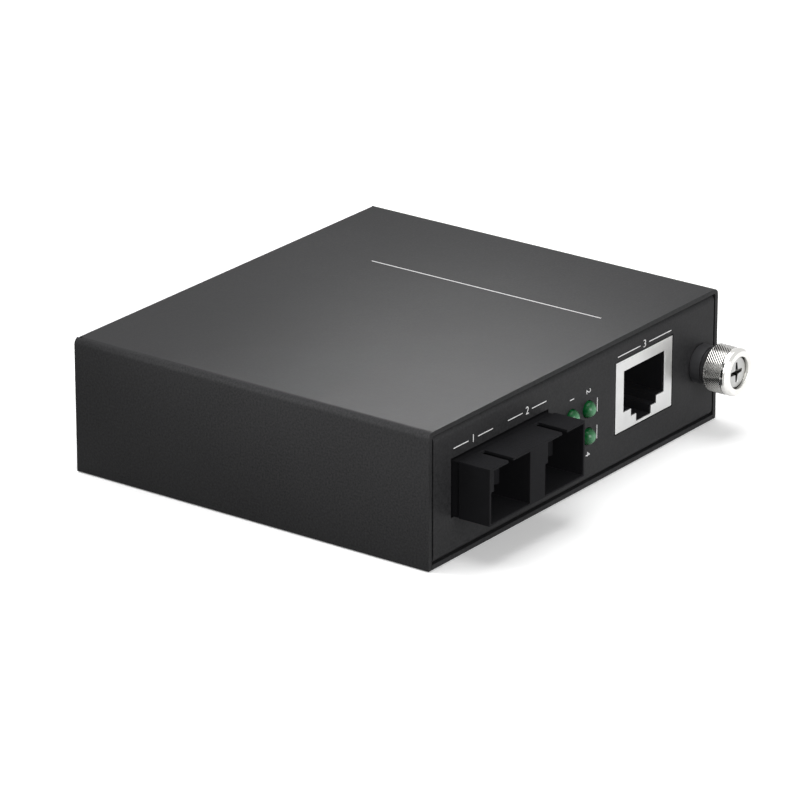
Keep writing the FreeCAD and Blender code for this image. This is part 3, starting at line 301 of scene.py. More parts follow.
# %% Blacks and ceramics: name, two colours, two roughnesses, grit in mm, its height in mm, gloss level
FLOW, MOULDED_IOR = 5.0 * MM, 1.55
MOULDINGS = {
    "black_moulding": ("spark_eroded_black_pbt", "#141415", "#1d1d1f", 0.52, 0.66, 0.20, 0.014, 0.03),
    "chip_epoxy": ("black_epoxy_casting", "#1b1b1c", "#2a2a2b", 0.62, 0.78, 0.24, 0.016, 0.25),
    "black_anodised": ("black_anodised_aluminium", "#343436", "#444446", 0.32, 0.44, 0.30, 0.005, 0.40),
    "ferrite": ("grey_ferrite_ceramic", "#3b3b3e", "#525256", 0.55, 0.70, 0.40, 0.014, 0.40),
    "tantalum_case": ("yellow_epoxy_casting", "#b98a2e", "#d6a849", 0.45, 0.60, 0.40, 0.010, 0.40),
}
for slot, (name, dark, light, smooth, rough, grit, height, level) in MOULDINGS.items():
    tree, shader, place = start_finish(slot, name)
    sand = node(tree, "TexNoise", {"Vector": place, "Scale": 1 / (grit * MM), "Detail": 2.0,
                                   "Roughness": 0.6})
    flow = node(tree, "TexNoise", {"Vector": place, "Scale": 1 / FLOW, "Detail": 2.0})
    tone = node(tree, "Mix", {SHARE: flow.outputs["Fac"], FIRST: linear(dark),
                              SECOND: linear(light)}, **COLOURS)
    gloss = node(tree, "MapRange", {"Value": sand.outputs["Fac"], "To Min": smooth, "To Max": rough,
                                    **CONTRAST})
    bump = node(tree, "Bump", {"Height": sand.outputs["Fac"], "Strength": 0.35,
                               "Distance": height * MM})
    dress(tree, shader, tone, gloss, bump)
    shader.inputs["IOR"].default_value = MOULDED_IOR
    shader.inputs["Specular IOR Level"].default_value = level
print("mouldings", sorted(MOULDINGS))


# %% [markdown]
# ## Circuit board
#
# The board is glass-fibre laminate with copper tracks under a green solder mask. The tracks
# stand 0.035 mm proud and look paler. The board is hidden in the case, so no track is modelled:
# a blocky cell pattern a few millimetres wide gives both the colour and the height.

# %% Board laminate
TRACK_CELL, COPPER, WEAVE = 2.6 * MM, 0.035 * MM, 0.5 * MM
tree, shader, place = start_finish("circuit_laminate", "green_masked_laminate")
cells = node(tree, "TexVoronoi", {"Vector": place, "Scale": 1 / TRACK_CELL, "Randomness": 0.8},
             feature="F1", distance="CHEBYCHEV")
gap = node(tree, "MapRange", {"Value": cells.outputs["Distance"], "From Min": 0.34, "From Max": 0.36})
weave = node(tree, "TexNoise", {"Vector": place, "Scale": 1 / WEAVE, "Detail": 2.0})
tone = node(tree, "Mix", {SHARE: gap.outputs[0], FIRST: linear("#1c5a35"),
                          SECOND: linear("#14462a")}, **COLOURS)
gloss = node(tree, "MapRange", {"Value": weave.outputs["Fac"], "To Min": 0.22, "To Max": 0.38})
bump = node(tree, "Bump", {"Height": gap.outputs[0], "Strength": 0.5, "Distance": -COPPER})
dress(tree, shader, tone, gloss, bump)
print("track cells", round(TRACK_CELL / MM, 1), "mm wide")


# %% [markdown]
# ## Lamp epoxy
#
# An indicator lamp is green epoxy with a little white filler, cast round its chip. It scatters
# light inside, so it has subsurface scattering as well as its colour, under a skin with a low
# gloss. Above the chip it looks paler than at the rim. That needs the distance to the nearest
# lamp's axis: with four lamps on a square, folding the place about the square's middle lays all
# four on one.

# %% Where the lamps are
LAMPS = ("led_upper_left", "led_upper_right", "led_lower_left", "led_lower_right")
lamp_boxes = np.array([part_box(name) for name in LAMPS])
lamp_centres = lamp_boxes.mean(axis=1)
square = lamp_centres.mean(axis=0)
half_across, half_up = np.abs(lamp_centres - square)[0][[0, 2]]
print("lamps stand", round(half_across / MM * 2, 2), "by", round(half_up / MM * 2, 2), "mm apart")

# %% Lamp epoxy, pale within CORE_REACH of a lamp's axis and dark past RIM_REACH
CORE_REACH, RIM_REACH, FILLER, SCATTER = 0.2 * MM, 1.3 * MM, 0.3 * MM, 0.5 * MM
tree, shader, place = start_finish("green_lens", "green_diffused_epoxy")
centred = node(tree, "Mapping", {"Vector": place, "Location": (-square[0], 0.0, -square[2])})
folded = node(tree, "VectorMath", {0: centred.outputs[0]}, operation="ABSOLUTE")
offset = node(tree, "VectorMath", {0: folded.outputs[0], 1: (half_across, 0.0, half_up)},
              operation="SUBTRACT")
flat = node(tree, "VectorMath", {0: offset.outputs[0], 1: (1.0, 0.0, 1.0)}, operation="MULTIPLY")
reach = node(tree, "VectorMath", {0: flat.outputs[0]}, operation="LENGTH")
rim = node(tree, "MapRange", {"Value": reach.outputs["Value"], "From Min": CORE_REACH,
                              "From Max": RIM_REACH}, interpolation_type="SMOOTHSTEP")
filler = node(tree, "TexNoise", {"Vector": place, "Scale": 1 / FILLER, "Detail": 2.0})
tone = node(tree, "Mix", {SHARE: rim.outputs[0], FIRST: linear("#578a68"),
                          SECOND: linear("#064a22")}, **COLOURS)
gloss = node(tree, "MapRange", {"Value": filler.outputs["Fac"], "To Min": 0.20, "To Max": 0.32})
bump = node(tree, "Bump", {"Height": filler.outputs["Fac"], "Strength": 0.05, "Distance": 0.01 * MM})
dress(tree, shader, tone, gloss, bump)
for name, value in (("IOR", 1.53), ("Specular IOR Level", 0.2), ("Subsurface Weight", 0.2),
                    ("Subsurface Radius", (0.3, 1.0, 0.4)), ("Subsurface Scale", SCATTER)):
    shader.inputs[name].default_value = value
print("green light spreads", round(SCATTER / MM, 2), "mm inside the epoxy")


# %% [markdown]
# ## Printing ink
#
# The marks are pad printed in white epoxy ink, a few hundredths of a millimetre thick. It is
# never quite opaque on black, so it is a slightly mottled light grey.

# %% Printing ink, from the same recipe
patchy("ink", "white_pad_printing_ink", "#c9c9c9", "#f0f0f0", 0.45, 0.60, 0.35, 0.01 * MM, metallic=0.0)
print(len(FINISHES), "finishes")


# %% [markdown]
# ## Finishes for the solids that stay
#
# Most of the inside needs no new shape, so the chips, the board and the fixings stay as they
# are in the CAD model. Their finish goes into the object's material slots, which leaves the
# mesh itself alone.

# %% Finishes on CAD nodes
KEPT = {
    "circuit_laminate": ("circuit_board", "transceiver_board"),
    "chip_epoxy": ("switch_chip", "management_chip", "memory_chip", "regulator", "lan_transformer"),
    "black_moulding": ("transceiver_lid", "led_holder"),
    "tinned_copper": ("transceiver_pins", "led_leads"),
    "nickel_plate": ("transmitter_barrel", "receiver_barrel", "power_pin"),
    "stainless_steel": ("thumbscrew_clip", "crystal"),
    "zinc_plated_steel": ("standoffs",), "ferrite": ("inductor",),
    "tantalum_case": ("input_capacitor",),
}
kept = {name: finish for finish, names in KEPT.items() for name in names}
for name, finish in kept.items():
    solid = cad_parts[name]
    if not solid.material_slots:
        solid.data.materials.append(FINISHES[finish])
    for material_slot in solid.material_slots:
        material_slot.material = FINISHES[finish]
print(len(kept), "nodes keep their CAD shape")


# %% [markdown]
# ## Softened edges
#
# The solids have knife-sharp edges, and real ones never do: paint flows round a folded edge, a
# mould has small radii, and a punch rolls the metal over. Rounding them in the CAD model would
# cost it many small faces. So each visible solid is copied here, its triangles are welded and
# joined into flat faces, and a small Bevel rounds every sharp edge, so that light catches it.

# %% Softened copies of CAD nodes
WELD, FLAT, SHARP = 0.001 * MM, 1.0, 30  # a length, and two angles in degrees


def new_object(name, mesh, finish, angle=35):
    """Put a mesh into the scene with one finish, shaded smooth except at edges sharper than angle."""
    mesh.materials.clear()
    mesh.materials.append(FINISHES[finish])
    mesh.polygons.foreach_set("use_smooth", np.ones(len(mesh.polygons), bool))
    mesh.set_sharp_from_angle(angle=math.radians(angle))
    made = bpy.data.objects.new(name, mesh)
    bpy.context.scene.collection.objects.link(made)
    return made


def softened(name, finish, width):
    """A welded copy of a CAD node, with every edge sharper than SHARP rounded over `width`."""
    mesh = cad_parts[name].data.copy()
    mesh.name = name + "_skin"
    shell = bmesh.new()
    shell.from_mesh(mesh)
    bmesh.ops.remove_doubles(shell, verts=shell.verts, dist=WELD)
    bmesh.ops.dissolve_limit(shell, angle_limit=math.radians(FLAT), verts=shell.verts,
                             edges=shell.edges)
    shell.to_mesh(mesh)
    shell.free()
    piece = new_object(name + "_skin", mesh, finish, SHARP)
    edge = piece.modifiers.new("edge", "BEVEL")
    edge.width, edge.segments, edge.harden_normals = width, 2, True
    edge.limit_method, edge.angle_limit = "ANGLE", math.radians(SHARP)
    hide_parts(name)
    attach(piece, "chassis")


# Each row: the finish, and the width of the soft edge in mm
SOFT_EDGES = {
    "cover": ("powder_coated_steel", 0.10), "base": ("powder_coated_steel", 0.10),
    "front_panel": ("powder_coated_steel", 0.04), "fibre_receptacle": ("black_moulding", 0.10),
    "latch_left": ("black_moulding", 0.08), "latch_right": ("black_moulding", 0.08),
    "jack_shield": ("tin_plate", 0.06), "jack_insert": ("black_moulding", 0.06),
    "power_jack": ("black_moulding", 0.12), "link_header": ("black_moulding", 0.10),
    "link_pins": ("gold_plate", 0.12),
}
for name, (finish, width) in SOFT_EDGES.items():
    softened(name, finish, width * MM)
print("softened", sorted(SOFT_EDGES))


# %% [markdown]
# ## Surfaces from arrays
#
# A turned part, a wire or a spring is easy to describe with two numbers: how far one is along a
# profile, and how far round. A grid over those two gives every point at once with numpy, and
# the faces follow from the order of the grid. A closed direction joins its last line to its
# first, so there is no seam, and points that fall together, at a pole, are merged.

# %% A surface from grids of points
MERGE = 0.0001 * MM


def grid_faces(rows, columns, closed, first):
    """Quads that join each grid point to the next row and to the next column, which wraps round."""
    i = np.arange(rows if closed else rows - 1)[:, None]
    j = np.arange(columns)[None, :]
    below, beside = (i + 1) % rows, (j + 1) % columns
    corners = (i * columns + j, below * columns + j, below * columns + beside, i * columns + beside)
    return np.stack(np.broadcast_arrays(*corners), -1).reshape(-1, 4) + first


def surface(name, grids, finish, closed=False, angle=35):
    """One object from grids shaped (rows, columns, 3); a closed grid also wraps along its rows."""
    quads, first = [], 0
    for grid in grids:
        quads.append(grid_faces(*grid.shape[:2], closed, first))
        first += grid.shape[0] * grid.shape[1]
    points = np.concatenate([grid.reshape(-1, 3) for grid in grids]).astype(np.float32)
    quads = np.concatenate(quads).astype(np.int32)
    mesh = bpy.data.meshes.new(name)
    mesh.vertices.add(len(points))
    mesh.vertices.foreach_set("co", points.ravel())
    mesh.loops.add(quads.size)
    mesh.loops.foreach_set("vertex_index", quads.ravel())
    mesh.polygons.add(len(quads))
    mesh.polygons.foreach_set("loop_start", np.arange(0, quads.size, 4, dtype=np.int32))
    mesh.update(calc_edges=True)
    shell = bmesh.new()
    shell.from_mesh(mesh)
    bmesh.ops.remove_doubles(shell, verts=shell.verts, dist=MERGE)
    bmesh.ops.recalc_face_normals(shell, faces=shell.faces)
    shell.to_mesh(mesh)
    shell.free()
    made = new_object(name, mesh, finish, angle)
    print(f"{name}: {len(mesh.polygons)} faces")
    return made


# %% [markdown]
# ## The knurled knob
#
# The knob is turned from bar, knurled with a roller, faced off and plated. Its profile is a
# closed loop of radius against distance along Y: the rim, the knurled side, the skirt that
# slides over the collar and the bore for the screw, with a small round at each corner. The
# roller leaves two sets of fine ridges that climb round the knob both ways, one pressed deeper
# than the other. Each set is a zigzag of (angle + distance along), and the valleys of both are
# cut from the radius. A bump would leave the outline smooth, so the ridges are in the mesh. A
# turned line parts the knurl from the polished rim.

# %% Profiles and turning
def rounded(corners, steps=5):
    """A profile through (radius, distance, round) corners, each an arc tangent to both sides.

    The arc starts round / tan(half the corner's angle) away from the corner. Its points are the
    blend of its two end spokes, sin((1 - t) s) and sin(t s) over sin(s), where s is the sweep.
    """
    corners = [tuple(corner) + (0.0,) * (3 - len(corner)) for corner in corners]
    line = []
    for i, (radius, along, bend) in enumerate(corners):
        here = np.array((radius, along))
        if bend <= 0 or i in (0, len(corners) - 1):
            line.append(here[None])
            continue
        back = np.array(corners[i - 1][:2]) - here
        ahead = np.array(corners[i + 1][:2]) - here
        back, ahead = back / np.linalg.norm(back), ahead / np.linalg.norm(ahead)
        half = math.acos(float(np.clip(back @ ahead, -1, 1))) / 2
        centre = here + (back + ahead) / np.linalg.norm(back + ahead) * bend / math.sin(half)
        start, end = here + back * bend / math.tan(half), here + ahead * bend / math.tan(half)
        sweep = math.pi - 2 * half
        t = np.linspace(0, 1, steps + 1)[:, None]
        spokes = np.sin((1 - t) * sweep) * (start - centre) + np.sin(t * sweep) * (end - centre)
        line.append(centre + spokes / math.sin(sweep))
    return np.concatenate(line)


def split(profile, longest):
    """The same profile, with every run cut into equal steps no longer than `longest`."""
    lengths = np.linalg.norm(np.diff(profile, axis=0), axis=1)
    counts = np.maximum(1, np.ceil(lengths / longest)).astype(int)
    stations = np.concatenate([i + np.arange(n) / n for i, n in enumerate(counts)] + [[len(counts)]])
    return np.stack([np.interp(stations, np.arange(len(profile)), profile[:, k]) for k in (0, 1)], -1)


def round_angles(count):
    """Equal angles once round, as one row, without the last one that meets the first."""
    return np.linspace(0, 2 * math.pi, count, endpoint=False)[None, :]


def lathe(profile, axis, count, deeper=0.0, further=0.0):
    """Turn a (radius, distance) profile about a line along Y through `axis`.

    Point = axis + ((radius - deeper) cos t, distance + further, (radius - deeper) sin t), where
    deeper and further may be arrays shaped (profile, count).
    """
    t = round_angles(count)
    radius = profile[:, :1] - deeper
    grid = np.broadcast_arrays(radius * np.cos(t), profile[:, 1:] + further, radius * np.sin(t))
    return np.stack(grid, -1) + np.array((axis[0], 0.0, axis[2]))


def zigzag(phase):
    """A triangle wave: 0 at whole numbers, 1 halfway between them."""
    return 1 - np.abs(phase % 1.0 * 2 - 1)


# %% Where the thumbscrew's parts are
collar_low, collar_high = np.array(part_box("thumbscrew_collar"))
screw_low, screw_high = np.array(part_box("thumbscrew_screw"))
AXIS = (knob_low + knob_high) / 2
KNOB_RADIUS = (knob_high - knob_low)[0] / 2
COLLAR_RADIUS = (collar_high - collar_low)[0] / 2
HEAD_RADIUS = (screw_high - screw_low)[0] / 2
KNOB_FACE, KNOB_BACK = knob_low[1], knob_high[1]
PANEL_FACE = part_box("front_panel")[0][1]
COUNTERBORE, WEB, SLIP = 1.1 * MM, 0.4 * MM, 0.15 * MM
SCREW_RADIUS = 1.5 * MM
HEAD_SEAT = KNOB_FACE + COUNTERBORE
print("knob", round(KNOB_RADIUS / MM * 2, 2), "mm across, head seat at", round(HEAD_SEAT / MM, 2))

# %% The knob's profile, with a turned line behind its face
CHAMFER, LINE_AT, LINE_DEEP = 0.42 * MM, 0.62 * MM, 0.06 * MM
RUNNING, PROFILE_STEP = 0.05 * MM, 0.09 * MM
well, bore, skirt = HEAD_RADIUS + RUNNING, SCREW_RADIUS + RUNNING, COLLAR_RADIUS + SLIP
line_low, line_high = KNOB_FACE + LINE_AT - LINE_DEEP, KNOB_FACE + LINE_AT + LINE_DEEP
profile = split(rounded([
    (well, HEAD_SEAT), (well, KNOB_FACE, 0.10 * MM), (KNOB_RADIUS - CHAMFER, KNOB_FACE, 0.22 * MM),
    (KNOB_RADIUS, KNOB_FACE + CHAMFER, 0.14 * MM), (KNOB_RADIUS, line_low),
    (KNOB_RADIUS - LINE_DEEP, KNOB_FACE + LINE_AT), (KNOB_RADIUS, line_high),
    (KNOB_RADIUS, KNOB_BACK, 0.55 * MM), (skirt, KNOB_BACK, 0.06 * MM),
    (skirt, HEAD_SEAT + WEB, 0.1 * MM), (bore, HEAD_SEAT + WEB), (bore, HEAD_SEAT), (well, HEAD_SEAT),
]), PROFILE_STEP)[:-1]
print(len(profile), "points along the knob's profile")

# %% The knurl, drawn with fewer and deeper ridges than a real one, which would be too fine to show
TEETH, PER_TOOTH, KNURL_DEEP, CROSSING, FADE = 52, 8, 0.065 * MM, 0.2, 0.12 * MM
TOOTH_WIDE = 2 * math.pi * KNOB_RADIUS / TEETH
count = TEETH * PER_TOOTH
turns = round_angles(count) * TEETH / (2 * math.pi)
climb = profile[:, 1:] / TOOTH_WIDE
rolled = np.maximum(1 - zigzag(turns + climb), CROSSING * (1 - zigzag(turns - climb)))
from_edge = np.minimum(profile[:, 1] - KNOB_FACE - BAND, KNOB_BACK - BACK_BAND - profile[:, 1])
knurled = np.clip(from_edge / FADE, 0, 1) * (profile[:, 0] > KNOB_RADIUS - 0.001 * MM)
pressed = KNURL_DEEP * rolled * knurled[:, None]
knob = surface("knob_knurled", [lathe(profile, AXIS, count, deeper=pressed)], "nickel_plate",
               closed=True, angle=40)
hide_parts("thumbscrew_knob")
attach(knob, "thumbscrew")
print("ridges", round(TOOTH_WIDE / MM, 2), "mm apart")


# %% [markdown]
# ## Screws with a cross recess
#
# A cross recess is pressed by a punch with four tapered wings. Seen as a height map over the
# head, a point lies in the recess when it is near one of two crossed lines, and the floor
# slopes down towards the middle. The same profile carries on over the rim, down the shank and
# round the thread. A thread's depth depends on distance minus angle, which makes it a helix.
# Cutting either with a Boolean would leave long thin triangles, so both only move grid points.

# %% Recess and thread as depths
def cross_depth(radius, angle, reach, width, depth):
    """Depth of a cross recess at a point of the head.

    The larger of |x|, |z| is the distance along a wing, and the smaller the distance off its
    middle. The wings are a third of the full depth, with a steep end, and a cone over their inner
    seven tenths makes up the rest. The side wall falls from 1 to 0 over the outer third of a half
    width, which narrows by a quarter towards the wing's end.
    """
    x, z = np.abs(radius * np.cos(angle)), np.abs(radius * np.sin(angle))
    along, across = np.maximum(x, z), np.minimum(x, z)
    wall = np.clip((width * (1 - 0.25 * along / reach) - across) / (0.35 * width), 0, 1)
    floor = np.clip((1 - along / reach) * 6, 0, 1) + 2 * np.clip(1 - along / (0.7 * reach), 0, 1)
    return depth * wall * floor / 3


def thread_depth(along, angle, start, end, pitch, depth):
    """Depth of a thread: a zigzag of (distance / pitch - turns), growing over its first pitch."""
    grown = np.clip((along - start) / pitch, 0, 1) * (along < end)
    return depth * grown * zigzag((along - start) / pitch - angle / (2 * math.pi))


# %% The long screw's sizes, and where its thread and its groove for the clip are
COLUMNS, HEAD_RINGS, EDGE = 192, 72, 0.18 * MM
PITCH, THREAD_DEEP, LEAD, POINT = 0.5 * MM, 0.27 * MM, 0.2 * MM, 0.4 * MM
CLIP_GROOVE, CLIP_PLAY, NECK, CORE = 1.14 * MM, 0.04 * MM, 0.8 * MM, 1.3 * MM
SCREW_STEP, THREAD_INSIDE = 0.06 * MM, 0.9 * MM  # no thread is cut nearer to the axis than this
clip_low, clip_high = np.array(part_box("thumbscrew_clip"))
top, tip = screw_low[1], screw_high[1]
groove, groove_end = clip_low[1] - CLIP_PLAY, clip_high[1] + CLIP_PLAY
neck, lead = groove_end + NECK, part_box("base")[1][1] + LEAD
thread = lead + LEAD
RECESS = {"reach": 1.8 * MM, "width": 0.40 * MM, "depth": 1.4 * MM}
print("thread", round((tip - thread) / MM, 2), "mm long")

# %% The long screw
face = np.stack([np.linspace(0, HEAD_RADIUS - EDGE, HEAD_RINGS), np.full(HEAD_RINGS, top)], -1)
shank = rounded([
    (HEAD_RADIUS - EDGE, top), (HEAD_RADIUS, top + EDGE, 0.10 * MM), (HEAD_RADIUS, HEAD_SEAT),
    (SCREW_RADIUS, HEAD_SEAT), (SCREW_RADIUS, groove), (CLIP_GROOVE, groove),
    (CLIP_GROOVE, groove_end), (SCREW_RADIUS, groove_end), (SCREW_RADIUS, neck), (CORE, neck),
    (CORE, lead),
])
threaded = split(np.array([(CORE, lead), (SCREW_RADIUS, thread), (SCREW_RADIUS, tip - POINT),
                           (SCREW_RADIUS - POINT, tip), (0.0, tip)]), SCREW_STEP)
profile = np.concatenate([face, shank[1:], threaded[1:]])
angle = round_angles(COLUMNS)
row = np.arange(len(profile))[:, None]
recess = cross_depth(profile[:, :1], angle, **RECESS) * (row < HEAD_RINGS)
cut = thread_depth(profile[:, 1:], angle, thread, tip, PITCH, THREAD_DEEP)
cut = cut * (profile[:, :1] > THREAD_INSIDE) * (row >= HEAD_RINGS)
screw = surface("screw_long", [lathe(profile, AXIS, COLUMNS, deeper=cut, further=recess)],
                "zinc_plated_steel")
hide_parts("thumbscrew_screw")
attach(screw, "thumbscrew")

# %% Cover screws, two of the same kind with domed heads that face the rear
PAN_COLUMNS, DOME_HIGH, PAN_SIDE, SHANK, FLAT_TOP = 72, 0.25 * MM, 0.6 * MM, 1.2 * MM, 0.9
PAN_RECESS = {"reach": 1.35 * MM, "width": 0.36 * MM, "depth": 1.2 * MM}
screws_low, screws_high = np.array(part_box("cover_screws"))
pan = (screws_high - screws_low)[2] / 2
level = (screws_high + screws_low)[2] / 2
seat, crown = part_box("cover")[1][1], screws_high[1]
t = np.linspace(0, 1, 40)[:, None]
dome = np.concatenate([t * pan * FLAT_TOP, crown - DOME_HIGH * t ** 3], 1)
side = rounded([(pan * FLAT_TOP, crown - DOME_HIGH), (pan, crown - PAN_SIDE, 0.3 * MM), (pan, seat),
                (SHANK, seat), (SHANK, screws_low[1]), (0.0, screws_low[1])])
profile = np.concatenate([dome, side[1:]])
recess = -cross_depth(profile[:, :1], round_angles(PAN_COLUMNS), **PAN_RECESS)
recess = recess * (np.arange(len(profile)) < len(dome))[:, None]
pair = [lathe(profile, (x, 0.0, level), PAN_COLUMNS, further=recess)
        for x in (screws_low[0] + pan, screws_high[0] - pan)]
piece = surface("pan_head_screws", pair, "black_screw_steel")
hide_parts("cover_screws")
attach(piece, "chassis")


# %% [markdown]
# ## Collar and spring
#
# The black collar is pressed into the front panel and guides the knob. It is one turned
# profile, in which a fine groove just behind the knob and a small step at the panel catch the
# light. The spring inside is a wire carried along a helix, with its two ends drawn to a point.

# %% Collar
GROOVE_AT, GROOVE_WIDE, GROOVE_DEEP, SLOPE = KNOB_BACK + 0.55 * MM, 0.32 * MM, 0.28 * MM, 0.04 * MM
STEP_AT, STEP_DEEP, SPRING_BORE, SPIGOT, CREASE = 0.18 * MM, 0.15 * MM, 2.75 * MM, 2.7 * MM, 0.03 * MM
SEAT_BEFORE_PANEL, COLLAR_COLUMNS = 0.6 * MM, 96
guide, seat, radius = SCREW_RADIUS + RUNNING, PANEL_FACE - SEAT_BEFORE_PANEL, COLLAR_RADIUS
low, high, groove_end = collar_low[1], collar_high[1], GROOVE_AT + GROOVE_WIDE
profile = rounded([
    (SPRING_BORE, low), (radius, low, 0.10 * MM), (radius, GROOVE_AT, CREASE),
    (radius - GROOVE_DEEP, GROOVE_AT + SLOPE), (radius - GROOVE_DEEP, groove_end),
    (radius, groove_end + SLOPE, CREASE), (radius, PANEL_FACE - STEP_AT, CREASE),
    (radius - STEP_DEEP, PANEL_FACE - 0.12 * MM), (radius - STEP_DEEP, PANEL_FACE),
    (SPIGOT, PANEL_FACE), (SPIGOT, high), (guide, high), (guide, seat), (SPRING_BORE, seat),
    (SPRING_BORE, low),
])[:-1]
collar = surface("collar_anodised", [lathe(profile, AXIS, COLLAR_COLUMNS)], "black_anodised",
                 closed=True)
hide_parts("thumbscrew_collar")
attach(collar, "chassis")

# %% Spring
TURNS, STEPS_PER_TURN, WIRE, TAPER = 3, 40, 0.2 * MM, 0.015  # the taper is a share of half the wire
spring_low, spring_high = np.array(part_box("thumbscrew_spring"))
length, mean = (spring_high - spring_low)[1], (spring_high - spring_low)[2] / 2 - WIRE
t = np.linspace(0, 1, TURNS * STEPS_PER_TURN + 1)[:, None]
past = np.maximum(0, np.abs(t - 0.5) * 2 - (1 - TAPER)) / TAPER
thick = WIRE * np.sqrt(np.clip(1 - past ** 2, 0, 1))
section, helix = round_angles(12), t * TURNS * 2 * math.pi
radius = mean + thick * np.cos(section)
along = spring_low[1] + WIRE + t * (length - 2 * WIRE) + thick * np.sin(section)
grid = np.stack([AXIS[0] + radius * np.cos(helix), along, AXIS[2] + radius * np.sin(helix)], -1)
spring = surface("spring_wire", [grid], "stainless_steel")
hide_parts("thumbscrew_spring")
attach(spring, "chassis")
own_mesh(spring)


# %% [markdown]
# ## Sprung contacts of the copper port
#
# Eight gold-plated wires come up behind the insert, run forward over its roof and bend back
# down into the plug space at a slant. Each is a flat wire with rounded edges, carried along a
# path whose corners are rounded. The eight are the same wire at eight places.

# %% The path of one contact, and its flat section with rounded corners
CONTACTS, CONTACT_PITCH, WIDE, THICK, ROUND = 8, 1.02 * MM, 0.45 * MM, 0.3 * MM, 0.06 * MM
SLANT_DEEP, SLANT_DOWN, KNEE_AT = 7.8 * MM, 3.3 * MM, 2.0 * MM
contact_low, contact_high = np.array(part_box("jack_contacts"))
foot, top = contact_high[1:] - THICK / 2
knee = PANEL_FACE + KNEE_AT
path = split(rounded([(foot, contact_low[2]), (foot, top, 0.5 * MM), (knee, top, 0.32 * MM),
                      (knee + SLANT_DEEP, top - SLANT_DOWN)], steps=6), 0.7 * MM)
w, h, r = WIDE / 2, THICK / 2, ROUND
ring = np.array([(-w + r, -h), (w - r, -h), (w, -h + r), (w, h - r),
                 (w - r, h), (-w + r, h), (-w, h - r), (-w, -h + r)])
print(len(path), "rings of", len(ring), "points along a contact")

# %% Jack contacts: the section is carried along the path's normal, and its ends close to a point
step = np.gradient(path, axis=0)
step /= np.linalg.norm(step, axis=1, keepdims=True)
normal = np.stack([-step[:, 1], step[:, 0]], -1)
side_on = path[:, None, :] + normal[:, None, :] * ring[None, :, 1:]
ends = [np.repeat(path[None, [end]], len(ring), 1) for end in (0, -1)]
side_on = np.concatenate([ends[0], side_on, ends[1]])
is_ring = (np.arange(len(side_on)) % (len(side_on) - 1) > 0)[:, None]
across = np.broadcast_to(ring[None, :, 0], side_on.shape[:2]) * is_ring
middle = (contact_low + contact_high)[0] / 2
places = [middle + CONTACT_PITCH * (i - (CONTACTS - 1) / 2) for i in range(CONTACTS)]
wires = [np.concatenate([(x + across)[..., None], side_on], -1) for x in places]
contacts = surface("contact_wires", wires, "gold_plate")
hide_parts("jack_contacts")
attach(contacts, "chassis")


# %% [markdown]
# ## Lamps
#
# Four lamps stand in the panel. Each is turned as one profile, a round dome that stands proud
# of the panel and a cylinder behind it, because a sphere joined to a cylinder would show a line.

# %% Lamps
for name, (low, high) in zip(LAMPS, lamp_boxes):
    radius, proud = (high - low)[0] / 2, PANEL_FACE - low[1]
    t = np.linspace(0, math.pi / 2, 20)[:, None]
    dome = np.concatenate([radius * np.sin(t), PANEL_FACE - proud * np.cos(t)], 1)
    back = rounded([(radius, PANEL_FACE), (radius, high[1], 0.15 * MM), (0.0, high[1])])
    profile = np.concatenate([dome, back[1:]])
    piece = surface(name + "_lens", [lathe(profile, (low + high) / 2, 64)], "green_lens")
    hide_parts(name)
    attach(piece, "chassis")


# %% [markdown]
# ## Printed marks
#
# The marks are white ink. Each port has its number between two short rules, and each lamp has a
# number beside it. A number is Blender text made into a mesh, because only a mesh can be put in
# its place for good. A rule is a box 0.02 mm thick.

# %% Ink helpers
INK, RULE = 0.02 * MM, 0.16 * MM


def printed(name, text, size, place, right, up):
    """A number in ink, centred on place, that reads along `right` with its top towards `up`."""
    curve = bpy.data.curves.new(name, "FONT")
    curve.body, curve.size, curve.extrude = text, size, INK / 2
    curve.align_x, curve.align_y = "CENTER", "CENTER"
    holder = bpy.data.objects.new(name, curve)
    mesh = bpy.data.meshes.new_from_object(holder)
    bpy.data.objects.remove(holder)
    axes = np.stack([right, up, np.cross(right, up)], 1)
    mesh.transform(Matrix.Translation(place) @ Matrix(axes.tolist()).to_4x4())
    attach(new_object(name, mesh, "ink"), "chassis")


def ruled(name, start, end, outward):
    """A bar of ink from start to end: a flat ring at each end, closed by its middle point."""
    start, end, outward = (np.array(v, float) for v in (start, end, outward))
    side = np.cross(outward, end - start)
    side *= RULE / 2 / np.linalg.norm(side)
    ring = np.array([-side, side, side + outward * INK, -side + outward * INK])
    rows = [np.repeat(start[None], 4, 0), start + ring, end + ring, np.repeat(end[None], 4, 0)]
    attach(surface(name, [np.array(rows)], "ink"), "chassis")


# %% Marks at the ports: a number at (x, z), and a rule on each side of it
FACE_OUT, RIGHT, UP = (0, -1, 0), (1, 0, 0), (0, 0, 1)
PORT_NUMBER, NUMBER_ROOM = 1.9 * MM, 1.3 * MM
ABOVE_OPTIC, ABOVE_SHIELD, OPTIC_SHARE, SHIELD_SHARE = 1.75 * MM, 1.0 * MM, 0.72, 0.95
ink_face = PANEL_FACE - INK / 2
optic_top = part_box("fibre_receptacle")[1][2]
shield_low, shield_high = np.array(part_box("jack_shield"))
barrels = [np.array(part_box(name)).mean(axis=0)[0] for name in ("transmitter_barrel", "receiver_barrel")]
port_span = abs(barrels[1] - barrels[0]) * OPTIC_SHARE
ports = [(x, optic_top + ABOVE_OPTIC, port_span) for x in sorted(barrels)]
ports.append(((shield_low + shield_high)[0] / 2, shield_high[2] + ABOVE_SHIELD,
              (shield_high - shield_low)[0] * SHIELD_SHARE))
